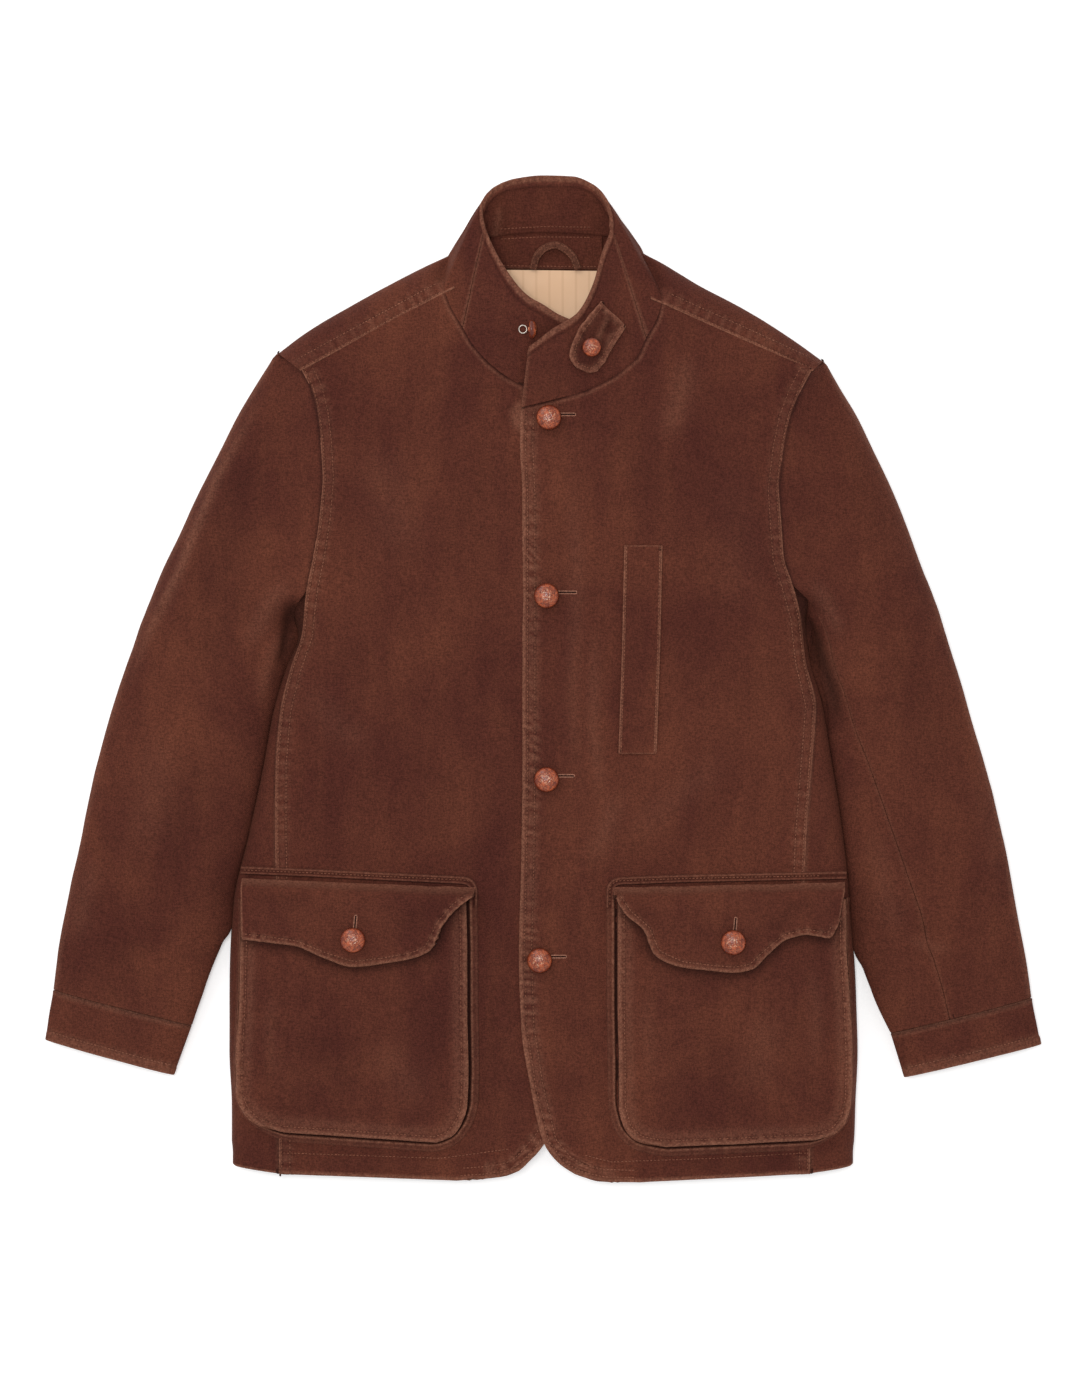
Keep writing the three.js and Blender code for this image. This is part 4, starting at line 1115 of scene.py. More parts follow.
def ring(rows, turn):
    """Points of a ring. Rows give outer x, y, inner x, y, crown, inner z, floor z and openness."""
    outer, inner = rows[:, None, 0:2], rows[:, None, 2:4]
    top, inner_z, floor_z, openness = (rows[:, None, i] for i in range(4, 8))
    across = -np.cos(math.pi * turn)
    plan = inner + (outer - inner) * ((across + 1) / 2)[..., None]
    base = np.where(across < 0, inner_z, EDGE_Z)
    power = np.where(across < 0, mix(0.5, 1.0, openness), 0.5)
    over = base + (top - base) * (1 - np.abs(across) ** FULLNESS) ** power
    half = np.linalg.norm(outer - inner, axis=-1) / 2
    share = np.minimum(ROLL / half, 0.9)
    t = np.clip((np.abs(across) - (1 - share)) / share, 0, 1)
    under = np.where(across < 0, floor_z, EDGE_Z) * (1 - np.sqrt(1 - t * t))
    z = np.where(np.mod(turn, 2) < 1, over, under)
    return np.concatenate([plan, z[..., None]], axis=-1)


def sleeve_table(sleeve, body, shoulder, sign):
    """Ring rows of a sleeve, each with the turns where its top piece starts and ends."""
    seams = [(sign * shoulder[0][0], shoulder[0][1])] + [row[2:4] for row in body[:ARMPIT_ROW]]
    table = []
    for i, row in enumerate(sleeve):
        outer, crown = np.array(row[:2], float), row[2]
        if len(row) > 3:
            table.append([*outer, row[3], row[4], crown, EDGE_Z, EDGE_Z, 0,
                          turn_at(row[5]), BACK_SLEEVE_SEAM, 2 + turn_at(row[5])])
            continue
        seam = np.array(seams[i], float)
        inner = seam - unit(outer - seam) * TUCK
        under = i == len(seams) - 1
        table.append([*outer, *inner, crown, float(top_z(*seam)), 0, 1,
                      0, BACK_SLEEVE_SEAM if under else 1.99, 1.99])
    return np.array(table)


def against_body(rows):
    """Sleeve rows whose inner edge meets the body's side wherever the two lie close."""
    reach = np.abs(rows[:, 2])
    gap = reach - side_x(rows[:, 2], rows[:, 3])
    closing = (mix(-TUCK, gap, smooth((gap - 2) / 5)) - gap) * (1 - rows[:, 7])
    rows[:, 2] = np.sign(rows[:, 2]) * (reach + closing)
    return rows


def along_ring(rows, start, end, count):
    share = np.linspace(0, 1, count)[None, :]
    return ring(rows, start[:, None] + (end - start)[:, None] * share)


# Soft ridges and troughs of the sleeves: line, width, height, wear along it
FOLDS_SLEEVE_RIGHT = [
    ([(-240, 256), (-286, 174), (-319, 92), (-349, 32), (-368, -20)], 4.5, 1.2, 0.45),
    ([(-236, 240), (-268, 160), (-292, 80), (-316, 10)], 20, -1.6, 0.0),
    ([(-217, 92), (-240, 62), (-262, 20)], 8, 2.6, 0.2),
    ([(-217, 74), (-220, 50), (-225, 24), (-231, 4)], 6.5, -7.0, 0.0),
    ([(-224, 50), (-240, 16), (-250, -30)], 6, 2.2, 0.15),
    ([(-252, 96), (-280, 50), (-300, -10)], 15, -1.5, 0.0),
    ([(-330, -30), (-340, -100), (-352, -170)], 18, 1.3, 0.1),
    ([(-290, -40), (-312, -110), (-330, -190)], 20, -1.3, 0.0),
    ([(-392, -150), (-404, -200), (-412, -240)], 10, 0.9, 0.15),
    ([(-330, -232), (-360, -244), (-396, -240)], 9, -1.0, 0.0),
]
FOLDS_SLEEVE_LEFT = [
    ([(232, 92), (250, 62), (262, 30)], 7, 2.2, 0.2),
    ([(230, 62), (238, 28), (251, -12), (259, -54)], 9, -8.0, 0.0),
    ([(229, 60), (235, 30), (244, -2)], 5, -6.0, 0.0),
    ([(238, 46), (252, 8), (262, -40)], 6, 2.0, 0.15),
    ([(262, 236), (286, 170), (306, 96)], 18, -1.2, 0.0),
    ([(282, 220), (312, 140), (340, 50), (366, -30)], 16, 1.0, 0.05),
    ([(300, 60), (330, -20), (350, -100)], 20, -1.3, 0.0),
    ([(380, -60), (396, -130), (408, -200)], 14, 1.0, 0.1),
    ([(318, -214), (338, -222), (356, -220)], 5, -1.6, 0.0),
    ([(316, -226), (340, -236), (362, -236)], 5, 1.1, 0.15),
    ([(286, -120), (300, -190), (314, -240)], 12, 0.9, 0.1),
]


def sleeve(side, table, folds, armhole, flip):
    seams = sum(1 for row in table if row[7])
    rows = against_body(refine(table, 3.0, measured=4))
    top = Cloth(along_ring(rows, rows[:, 8], rows[:, 9], 74))
    under_rows = against_body(refine(table[seams - 1:], 3.4, measured=4))
    under = Cloth(along_ring(under_rows, np.full(len(under_rows), BACK_SLEEVE_SEAM), under_rows[:, 10], 44))
    for name, cloth in (("top", top), ("under", under)):
        if flip:
            cloth.points = cloth.points[:, ::-1]
            cloth.worn = cloth.worn[:, ::-1]
        x, y = cloth.x, cloth.y
        cloth.lift(0.7 * sag(x, y, 51 + flip, 110) + 0.25 * sag(x, y, 53 + flip, 40))
        cloth.folds(folds)
        if name == "top":
            gap, _ = from_line(cloth.x, cloth.y, table[:, :2])
            cloth.wear(0.3 * smooth((7 - gap) / 6))
            # painted shade along the armhole seam
            gap, _ = from_line(cloth.x, cloth.y, armhole)
            cloth.shade(0.75 * peak(gap, 1.8))
        for join in ("left", "right"):
            cloth.roll(join, SEAM_ROLL, 0.2)
        cloth.roll("top", SEAM_ROLL, 0.3, under=0.5)
        cloth.roll("bottom", SEAM_ROLL, 0.1)
        dress(f"sleeve_{side}_{name}", [cloth])


CUFF_LENGTH = 44.0
CUFF_ROW = 8.5  # stitch row above the cuff's hem


def cuff(side, table, flip):
    start, end = np.array([(*row, EDGE_Z, EDGE_Z, 0) for row in table], float)
    rows = mix(start, end, stations(CUFF_LENGTH, 2.4)[:, None] / CUFF_LENGTH)
    turns = np.tile(np.linspace(-0.5, 1.5, 110), (len(rows), 1))
    cloth = Cloth(ring(rows, np.where(turns < 0, turns + 2, turns)))
    if flip:
        cloth.points = cloth.points[:, ::-1]
    seam, hem = (np.array([row[2:4], row[:2]]) for row in (start, end))
    cloth.lift(0.5 * sag(cloth.x, cloth.y, 61 + flip, 45))
    cloth.seam(hem, (CUFF_ROW,), 62 + flip, pucker=0.4, puff=0.7)
    cloth.seam(seam, (2.2,), 64 + flip, pucker=0.1, puff=0.5, depth=0.3)
    gap, along = from_line(cloth.x, cloth.y, hem)
    cloth.wear(0.45 * smooth((11 - gap) / 3) * (0.75 + 0.25 * ripple(along, 68 + flip, 6)))
    # painted shade along the cuff's seam
    gap, _ = from_line(cloth.x, cloth.y, seam)
    cloth.shade(0.7 * peak(gap, 1.4))
    cloth.wear(0.35 * peak(gap, 1.4, 3.2))
    inside = cloth.points[-12:] - normals(cloth.points)[-12:] * 2.6
    cloth.roll("top", SEAM_ROLL, 0.1)
    cloth.roll("bottom", 1.3, 0.9, under=0.5)
    lining = Cloth(inside[::-1])
    dress(f"cuff_{side}", [cloth, lining])
    return cloth, hem


table_right = sleeve_table(SLEEVE_RIGHT, BODY_RIGHT, SHOULDER_RIGHT, -1)
table_left = sleeve_table(SLEEVE_LEFT, BODY_LEFT, SHOULDER_LEFT, 1)
sleeve("right", table_right, FOLDS_SLEEVE_RIGHT, SEAM_RIGHT[:ARMPIT_ROW + 1], 1)
sleeve("left", table_left, FOLDS_SLEEVE_LEFT, SEAM_LEFT[:ARMPIT_ROW + 1], 0)
cuff_right = cuff("right", CUFF_RIGHT, 1)
cuff_left = cuff("left", CUFF_LEFT, 0)


# Collar: one closed loft round the neck, cut at its side seams

COLLAR_WALL = 3.4
NECK_SKIRT = 11.0  # how far the collar's inner cloth goes down inside the neck
COLLAR_PARTS = {"collar_right": (0, 5), "collar_back": (5, 17), "collar_left": (17, 22)}


def collar_rows():
    rows = []
    for sx, sy, *rest in COLLAR:
        seam_z = rest[0] if len(rest) == 4 else float(top_z(sx, sy))
        rows.append((sx, sy, seam_z, *rest[-3:]))
    return np.array(rows, float)


COLLAR_TABLE = collar_rows()
COLLAR_KEYS = lengths(COLLAR_TABLE, 3)
RISES = np.concatenate([np.linspace(0, 0.86, 24), np.linspace(0.88, 1, 7)])


def collar_face(start, end):
    """Outer face of the collar between two of its table's rows: rows round the neck."""
    at = stations(COLLAR_KEYS[end] - COLLAR_KEYS[start], 2.6) + COLLAR_KEYS[start]
    rows = through(COLLAR_KEYS, COLLAR_TABLE, at)
    low, high = rows[:, None, :3], rows[:, None, 3:]
    return low + (high - low) * RISES[None, :, None], at


def collar_out(points):
    """Unit normals of the collar's outer face."""
    return -normals(points)


# Creases inside the collar: line, width, height, wear
COLLAR_FOLDS = [
    ([(-30, 423), (-34, 400), (-37, 374)], 3.2, -2.0, 0.0),
    ([(-37, 420), (-41, 398), (-44, 376)], 3.6, 1.2, 0.3),
    ([(30, 424), (44, 408)], 4.0, -1.2, 0.0),
]


def collar_part(name, start, end, seed):
    points, at = collar_face(start, end)
    out = collar_out(points)
    span = np.linalg.norm(points[:, -1] - points[:, 0], axis=1)
    up = RISES[None, :] * span[:, None]
    down = span[:, None] - up
    along = np.broadcast_to(at[:, None], up.shape)
    relief = 0.9 * np.sin(math.pi * RISES)[None, :] * (1 + 0.6 * sag(along, up, seed, 60))
    rim_band = peak(down, 1.1, 5.5)
    relief = relief - 0.55 * rim_band + 0.5 * smooth((6 - down) / 2)
    waves = ripple(along, seed + 1, 10)
    relief = relief + 0.4 * waves * peak(down, 4, 3)
    ends = np.minimum(at - at[0], at[-1] - at)[:, None]
    relief = relief + 0.5 * smooth((3.4 - ends) / 1.6) - 0.4 * peak(ends, 1.0, 4.6)
    points = points + out * relief[..., None]
    rim_up = unit(points[:, -1] - points[:, -3])
    bend = []
    for angle in np.radians([25, 50, 75, 105, 130, 155]):
        centre = points[:, -1] - out[:, -1] * COLLAR_WALL / 2
        spoke = out[:, -1] * math.cos(angle) + rim_up * 1.25 * math.sin(angle)
        bend.append(centre + spoke * COLLAR_WALL / 2)
    lean = 1.0 + 0.7 * smooth(down / 8)
    inside = points - out * (COLLAR_WALL * lean + 0.5 * peak(down, 1.2, 7))[..., None]
    inside = inside[:, ::-1][:, 1:]
    skirt = inside[:, -1:] - (0, 0, NECK_SKIRT)
    grid = np.concatenate([points, np.stack(bend, axis=1), inside, skirt], axis=1)
    no_skirt = np.zeros((len(at), 1))
    rim = np.concatenate([smooth((4.6 - down) / 2.5), np.ones((len(at), 6)),
                          smooth((4.6 - down[:, ::-1][:, 1:]) / 3), no_skirt], axis=1)
    side = smooth((5 - ends) / 4)
    worn = np.clip(np.maximum(rim * (0.6 + 0.3 * waves[:, :1]), 0.5 * side), 0, 1)
    cloth = Cloth(grid.swapaxes(0, 1))
    cloth.worn = worn.swapaxes(0, 1)
    # painted shade in the groove below the rim, on the outer face and inside
    groove = np.concatenate([0.55 * peak(down, 1.0, 6.4), np.zeros((len(at), 6)),
                             0.4 * np.exp(-((down[:, ::-1][:, 1:] - 7) / 1.3) ** 2), no_skirt], axis=1)
    cloth.shade(groove.swapaxes(0, 1))
    cloth.folds(COLLAR_FOLDS)
    for side in ("left", "right"):
        cloth.roll(side, SEAM_ROLL, 0.5, under=0.6)
    dress(name, [cloth])
    return cloth


collars = {name: collar_part(name, *rows, 70 + rows[0]) for name, rows in COLLAR_PARTS.items()}
collar_tree = collars["collar_left"].tree()


def level_on(tree, x, y, lift):
    """Height of a laid surface below each place, plus a lift."""
    level = np.full(np.shape(x), np.nan)
    for index in np.ndindex(level.shape):
        hit, _ = below(tree, x[index], y[index])
        if hit is not None:
            level[index] = hit.z + lift
    return np.where(np.isnan(level), np.nanmean(level), level)


# Pockets

POCKET_ROW = 5.6  # stitch rows inside the edges of face and flap
FLAP_ROW = 5.2


def outline_of(table):
    """The pocket's sides and rounded bottom as one line, from its left mouth to its right one."""
    table = np.array(table, float)
    left, right = table[:, :2], table[:, 2:]
    floor = np.linspace(left[-1], right[-1], 8)[1:-1]
    return np.vstack([left, floor, right[::-1]])


def rounded(line, spacing=2.4, passes=3):
    """A polyline at an even spacing with its corners eased."""
    line = trimmed(line)
    keys = lengths(line)
    at = np.linspace(0, keys[-1], int(keys[-1] / spacing))
    line = np.stack([np.interp(at, keys, line[:, i]) for i in (0, 1)], axis=1)
    for _ in range(passes):
        line[1:-1] = 0.25 * line[:-2] + 0.5 * line[1:-1] + 0.25 * line[2:]
    return line


def face_z(x, y):
    return panel_z(x, y) + POCKET_DEPTH


def pocket(side, table, flap_table, seed):
    outline = outline_of(table)
    face = panel(table, face_z, 2.6)
    gap, along = from_line(face.x, face.y, outline)
    face.points[..., 2] += 1.6 * smooth(gap / 60)
    face.lift(0.6 * sag(face.x, face.y, seed, 80) + 0.3 * sag(face.x, face.y, seed + 1, 30))
    face.seam(outline, (POCKET_ROW,), seed + 2, pucker=0.45, puff=0.7)
    face.folds(POCKET_FOLDS[side])
    face.wear(0.25 * peak(gap, 5, 9)
              + 0.4 * smooth((5 - gap) / 2) * (0.7 + 0.5 * ripple(along, seed + 3, 6)))
    # painted shadow cast by the flap's free edge on the pocket face
    under_flap, _ = from_line(face.x, face.y, np.array(flap_table, float)[:, 2:])
    face.shade(0.75 * peak(under_flap, 6))
    face.round_off(outline, 3.0, 4.2, 0.85)
    face.roll("top", SEAM_ROLL, 0.5)
    dress(f"pocket_{side}_face", [face])

    # bellows: a flange stitched to the body, a deep groove, and a wall up to the face
    line = rounded(outline)
    outer_side = np.abs(line[:, 0]) > 240
    spread = mix(9.5, 4.0, smooth(np.convolve(outer_side, np.ones(15) / 15, mode="same")))
    profile = [(1.0, -1.6), (1.0, 0.2), (0.85, 0.8), (0.64, 1.0), (0.52, 1.7), (0.43, 2.8), (0.33, 2.9),
               (0.25, 1.9), (0.17, 0.3), (0.06, 0.2), (-0.05, 2.5), (-0.2, POCKET_DEPTH - 3.2),
               (-0.5, POCKET_DEPTH - 3.0)]
    out = beside(line, 1.0) - line
    rows = []
    for share, height in profile:
        plan = line - out * (spread * share)[:, None]
        rows.append(np.hstack([plan, (front_z(plan[:, 0], plan[:, 1]) + height)[:, None]]))
    bellows = Cloth(np.array(rows)[::-1].swapaxes(0, 1)[:, ::-1])
    waves = ripple(np.linspace(0, len(line) * 2.4, len(line)), seed + 4)
    bellows.points[..., 2] += 0.35 * waves[:, None]
    marks = np.array([0, 0.3, 0.3, 0.2, 0.4, 1, 0.9, 0.3, 0, 0, 0, 0, 0])
    bellows.worn = np.broadcast_to(marks, bellows.points.shape[:2]) * (0.7 + 0.3 * waves[:, None])
    # painted shade: darkest in the groove and up the wall under the pocket's face, lighter at the flange's
    # outer edge
    bellows.shade(np.array([0.8, 0.3, 0, 0.2, 0, 0, 0, 0.5, 1, 1, 1, 1, 0.8]))
    dress(f"pocket_{side}_gusset", [bellows])

    flap = flap_cloth(side, flap_table, seed + 6)
    dress(f"flap_{side}", [flap])
    band = pocket_band(side, seed + 9)
    return face, flap, band


def flap_cloth(side, flap_table, seed):
    table = np.array(flap_table, float)
    rows = refine(table, 2.2)
    seam, free = rows[:, :2], rows[:, 2:]
    length = np.linalg.norm(free - seam, axis=1)
    share = stations(60, 2.2)[None, :, None] / 60
    plan = seam[:, None] + (free - seam)[:, None] * share
    place = (rows[:, 0] - rows[0, 0]) / (rows[-1, 0] - rows[0, 0])
    inwards = place if side == "right" else 1 - place
    lifted = smooth(length[:, None] * share[..., 0] / 9)
    curl = 4 * share[..., 0] * smooth((inwards - 0.62) / 0.3)[:, None]
    level = panel_z(plan[..., 0], plan[..., 1]) + FLAP_SEAT + lifted * FLAP_RISE + curl
    level += 0.5 * lifted * np.sin(plan[..., 0] / 17 + seed)
    cloth = Cloth(np.concatenate([plan, level[..., None]], axis=-1).swapaxes(0, 1))
    x, y = cloth.x, cloth.y
    cloth.lift(0.45 * sag(x, y, seed, 50))
    cloth.folds(FLAP_FOLDS[side])
    cloth.seam(free, (FLAP_ROW,), seed + 1, pucker=0.35, puff=0.9)
    top_gap, along = from_line(x, y, seam)
    cloth.lift(0.6 * peak(top_gap, 3, 5) + 0.3 * ripple(along, seed + 2) * smooth((12 - top_gap) / 6))
    cloth.wear(0.5 * smooth((8 - top_gap) / 5))
    cloth.roll("bottom", 2.3, 0.95)
    cloth.roll("left", SEAM_ROLL, 0.8, under=1.0)
    cloth.roll("right", SEAM_ROLL, 0.8, under=1.0)
    cloth.roll("top", 1.1, 0.6)
    return cloth


FLAP_FOLDS = {
    "right": [
        ([(-254, -188), (-225, -196), (-190, -192)], 7, -1.5),
        ([(-250, -212), (-215, -214), (-185, -226)], 7, 1.1),
        ([(-75, -188), (-100, -206), (-130, -222)], 9, -1.4),
        ([(-150, -196), (-120, -200), (-96, -196)], 8, 0.9),
    ],
    "left": [
        ([(246, -188), (214, -206), (186, -228)], 9, -1.8),
        ([(262, -184), (238, -206), (222, -222)], 6, 1.2),
        ([(70, -188), (92, -206), (112, -226)], 8, -1.4),
        ([(110, -196), (140, -204), (170, -200)], 9, 0.9),
    ],
}
# The stitched ridge above each flap, which turns down to meet the bellows at the inner corner
BANDS = {
    "right": [(-264, -167.5), (-200, -170), (-140, -173), (-66, -176.5), (-60.7, -181), (-60.7, -200)],
    "left": [(58.7, -200), (58.7, -181), (64, -177), (120, -175), (190, -173.5), (265, -172)],
}


def pocket_band(side, seed):
    path = rounded(BANDS[side], 2.0)
    along = np.linspace(0, lengths(path)[-1], len(path))
    rows = []
    for across in np.linspace(4, -4, 11):
        plan = beside(path, across)
        ridge = 1.3 * math.exp(-((across - 2.2) / 1.2) ** 2) + 0.7 * math.exp(-((across + 2.6) / 1.0) ** 2)
        rows.append(np.hstack([plan, (panel_z(plan[:, 0], plan[:, 1]) + 1.4 + ridge)[:, None]]))
    cloth = Cloth(rows)
    cloth.lift(0.35 * np.broadcast_to(ripple(along, seed), cloth.worn.shape))
    ridges = np.array([0.3, 0.8, 0.9, 0.5, 0.1, 0.0, 0.0, 0.3, 0.6, 0.4, 0.0])[:, None]
    cloth.wear(ridges * (0.6 + 0.25 * ripple(along, seed + 1)))
    # painted shade in the grooves beside the band's ridges
    cloth.shade(np.array([0.4, 0, 0, 0, 0.3, 0.5, 0.4, 0.1, 0, 0.4, 0.9])[:, None])
    cloth.roll("top", 0.9, 0.3, under=1.2)
    cloth.roll("bottom", 0.9, 0.0, under=1.2)
    piece = cloth_object(f"pocket_{side}_band", [cloth], SHELL)
    return cloth


POCKET_FOLDS = {
    "right": [
        ([(-236, -262), (-238, -310), (-232, -360)], 7, 0.9, 0.1),
        ([(-150, -310), (-120, -350), (-100, -376)], 16, 0.9, 0.1),
        ([(-200, -300), (-180, -340), (-176, -380)], 18, -0.9, 0.0),
        ([(-96, -262), (-92, -310), (-96, -350)], 9, -0.8, 0.0),
    ],
    "left": [
        ([(232, -240), (238, -290), (236, -350)], 7, 0.9, 0.1),
        ([(92, -262), (90, -310), (98, -360)], 8, 0.8, 0.1),
        ([(130, -300), (160, -340), (200, -362)], 18, -0.9, 0.0),
        ([(200, -280), (190, -320), (180, -370)], 16, 0.8, 0.1),
    ],
}

pocket_right = pocket("right", POCKET_RIGHT, FLAP_RIGHT, 100)
pocket_left = pocket("left", POCKET_LEFT, FLAP_LEFT, 120)


# Chest welt, collar tab and the inside of the neck

WELT_ROW = 2.0  # stitch rows inside the long edges of the welt
FACING_Z = 3.4
LINING_Z = 3.0
TAB_LIFT = 3.2  # of the tab's face over the collar

welt_cloth = panel(CHEST_WELT, lambda x, y: front_z(x, y) + CLOTH + 0.4, 2.6)
welt_table = np.array(CHEST_WELT, float)
welt_cloth.lift(0.35 * sag(welt_cloth.x, welt_cloth.y, 81, 50))
welt_cloth.seam(welt_table[:, 2:], (WELT_ROW,), 82, pucker=0.3, puff=0.3)
welt_cloth.seam(welt_table[:, :2], (WELT_ROW,), 83, pucker=0.3, puff=0.4)
for side in ("left", "right", "top", "bottom"):
    welt_cloth.roll(side, 1.0, 0.55)
dress("chest_welt", [welt_cloth])


TAB_FOLDS = [
    ([(60, 322), (50, 300), (44, 284)], 2.6, 1.3, 0.45),
    ([(68, 306), (58, 296), (54, 282)], 2.4, 1.2, 0.45),
    ([(64, 314), (56, 304), (50, 296)], 2.0, -1.6, 0.0),
    ([(46, 320), (38, 304), (33, 290)], 2.4, -1.0, 0.0),
    ([(48, 276), (44, 270), (40, 264)], 2.0, 1.0, 0.4),
]


def tab_cloth():
    table = np.array(TAB, float)
    cloth = panel(table, lambda x, y: level_on(collar_tree, x, y, TAB_LIFT), 1.6)
    border = np.vstack([table[:, :2], table[::-1, 2:], table[:1, :2]])
    x, y = cloth.x, cloth.y
    for _ in range(12):
        z = cloth.points[..., 2]
        z[1:-1, 1:-1] = 0.25 * (z[:-2, 1:-1] + z[2:, 1:-1] + z[1:-1, :-2] + z[1:-1, 2:])
    cloth.seam(border, (4.4,), 91, pucker=0.7, puff=1.3, depth=0.8)
    cloth.lift(0.9 * sag(x, y, 92, 22) + 0.4 * sag(x, y, 93, 9))
    cloth.shade(0.35 * smooth((from_line(x, y, border)[0] - 4) / 3))
    cloth.folds(TAB_FOLDS)
    for side in ("left", "right", "bottom", "top"):
        cloth.roll(side, 1.5, 0.85, under=1.5)
    return cloth


tab = tab_cloth()
dress("collar_tab", [tab])

facing = panel(NECK_FACING, lambda x, y: np.full(np.shape(x), FACING_Z), 2.6)
facing.lift(0.5 * sag(facing.x, facing.y, 85, 40))
facing.seam(np.array([(-46, 359), (52, 358)], float), (3.0,), 86, pucker=0.3, puff=0.5)
facing.roll("bottom", 0.9, 0.5)
dress("neck_facing", [facing])
lining = panel(LINING, lambda x, y: np.full(np.shape(x), LINING_Z), 3.0)
lining.lift(0.5 * sag(lining.x, lining.y, 87, 60))
lining_sheet = cloth_object("lining_cloth_sheet", [lining], LINING_CLOTH)
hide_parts("lining")


LOOP_HALF = 3.4  # half the tape's width


def loop_cloth():
    """A flat tape that arches over the neck facing."""
    line = np.array(LOOP, float)
    keys = lengths(line)
    at = np.linspace(0, keys[-1], 48)
    middle = through(keys, line, at)
    step = unit(np.gradient(middle, axis=0))
    out = np.stack([-step[:, 1], step[:, 0]], axis=1)
    level = 5.6 + 4.4 * np.sin(math.pi * at / keys[-1])
    rows = []
    for across in np.linspace(-LOOP_HALF, LOOP_HALF, 11):
        bulge = 0.5 * math.cos(across / LOOP_HALF * math.pi) + 0.5
        rows.append(np.hstack([middle + out * across, (level + 0.8 * bulge)[:, None]]))
    cloth = Cloth(np.array(rows)[::-1])
    cloth.lift(0.25 * ripple(np.broadcast_to(at, cloth.worn.shape), 88, 6))
    cloth.wear(np.full(cloth.worn.shape, 0.55))
    cloth.roll("top", 0.9, 0.8, under=1.0)
    cloth.roll("bottom", 0.9, 0.8, under=1.0)
    return cloth


loop = loop_cloth()
loop.shade(0.4)
dress("hanger_loop", [loop])


# Stitching

def front_stitches(side, tree, seam, edge, start, hem, sign, seed):
    """Rows beside the seams, beside the front edge and along the hem."""
    thread = Thread()
    for offset in SIDE_ROWS:
        thread.row(tree, trimmed(beside(seam, sign * offset), 3, 3), seed + int(offset))
    for offset in FRONT_ROWS:
        thread.row(tree, trimmed(beside(edge, -sign * offset), start, 3), seed + 2 + int(offset))
    thread.row(tree, hem, seed + 4)
    thread.build(f"stitches_front_{side}", THREAD)


front_stitches("right", right_front.tree(), SEAM_RIGHT, EDGE_RIGHT[ARMPIT_ROW:], 1,
               [(-231, -415), (-90, -420), (-30, -412)], 1, 201)
tree = left_front.tree()
front_stitches("left", tree, SEAM_LEFT, EDGE_LEFT[ARMPIT_ROW - 1:], 3,
               [(234, -415), (150, -420), (60, -423), (36, -417)], -1, 211)
holes, slit_shadows = Thread(), Thread()
for (x, y), reach in zip(FRONT_BUTTONS, (13, 16, 14, 13)):
    ends = (x + 8.5, y + 3), (x + 10 + reach, y + 3)
    holes.buttonhole(tree, *ends, 220 + abs(y), 4.4)
    slit_shadows.cut(tree, *ends)

shoulder_thread = Thread()
for (strip, line), sign in zip(strips, (-1, 1)):
    tree = strip.tree()
    for offset in STRIP_ROWS:
        shoulder_thread.row(tree, trimmed(beside(line, -sign * offset), 2, 2), 231 + int(offset))
shoulder_thread.build("stitches_shoulders", THREAD)

for side, (cloth, hem) in (("right", cuff_right), ("left", cuff_left)):
    thread = Thread()
    thread.row(cloth.tree(), trimmed(beside(hem, CUFF_ROW if side == "left" else -CUFF_ROW), 4, 4), 241)
    thread.build(f"stitches_cuff_{side}", THREAD)

for side, (face, flap, band) in (("right", pocket_right), ("left", pocket_left)):
    thread = Thread()
    table = np.array(POCKET_RIGHT if side == "right" else POCKET_LEFT, float)
    outline = outline_of(table)
    thread.row(face.tree(), trimmed(beside(outline, POCKET_ROW), 6, 6), 251)
    flap_table = np.array(FLAP_RIGHT if side == "right" else FLAP_LEFT, float)
    thread.row(flap.tree(), trimmed(beside(flap_table[:, 2:], FLAP_ROW), 2, 2), 252)
    thread.row(band.tree(), trimmed(beside(BANDS[side], 0.2), 2, 22), 253)
    x, y = FLAP_BUTTONS[f"button_flap_{side}"]
    ends = (x + 1.5, y + 9), (x + 2.5, y + 21)
    holes.buttonhole(flap.tree(), *ends, 254, 4.4)
    slit_shadows.cut(flap.tree(), *ends)
    thread.build(f"stitches_pocket_{side}", THREAD)

thread = Thread()
thread.row(collars["collar_back"].tree(), [(-38, 396.5), (0, 398.5), (44, 398)], 281)
thread.row(facing.tree(), [(-38, 388), (0, 390), (44, 389.5)], 282)
thread.row(facing.tree(), [(-42, 364.5), (48, 363.5)], 283)
thread.row(loop.tree(), beside(LOOP, 2.2), 284, 2.8)
thread.row(loop.tree(), beside(LOOP, -2.2), 285, 2.8)
thread.build("stitches_neck", THREAD)

thread = Thread()
tree = welt_cloth.tree()
thread.row(tree, trimmed(beside(welt_table[:, :2], WELT_ROW), 1, 1), 261)
thread.row(tree, trimmed(beside(welt_table[:, 2:], -WELT_ROW), 1, 1), 262)
thread.build("stitches_welt", THREAD)

thread = Thread()
tab_table = np.array(TAB, float)
border = np.vstack([tab_table[:, :2], tab_table[::-1, 2:]])
thread.row(tab.tree(), trimmed(beside(border, 4.2), 1, 1), 271, 2.8)
thread.build("stitches_tab", THREAD)
holes.build("stitches_buttonholes", HOLE_THREAD)
slit_shadows.build("buttonhole_slit_shadows", SLIT_SHADE_CLOTH)


# Buttons

def ring_faces(rings, around, closed=False):
    """Faces between rings of points, and back to the first ring when closed."""
    faces = []
    for i in range(rings if closed else rings - 1):
        low, high = i * around, (i + 1) % rings * around
        for j in range(around):
            k = (j + 1) % around
            faces.append((low + j, high + j, high + k, low + k))
    return faces


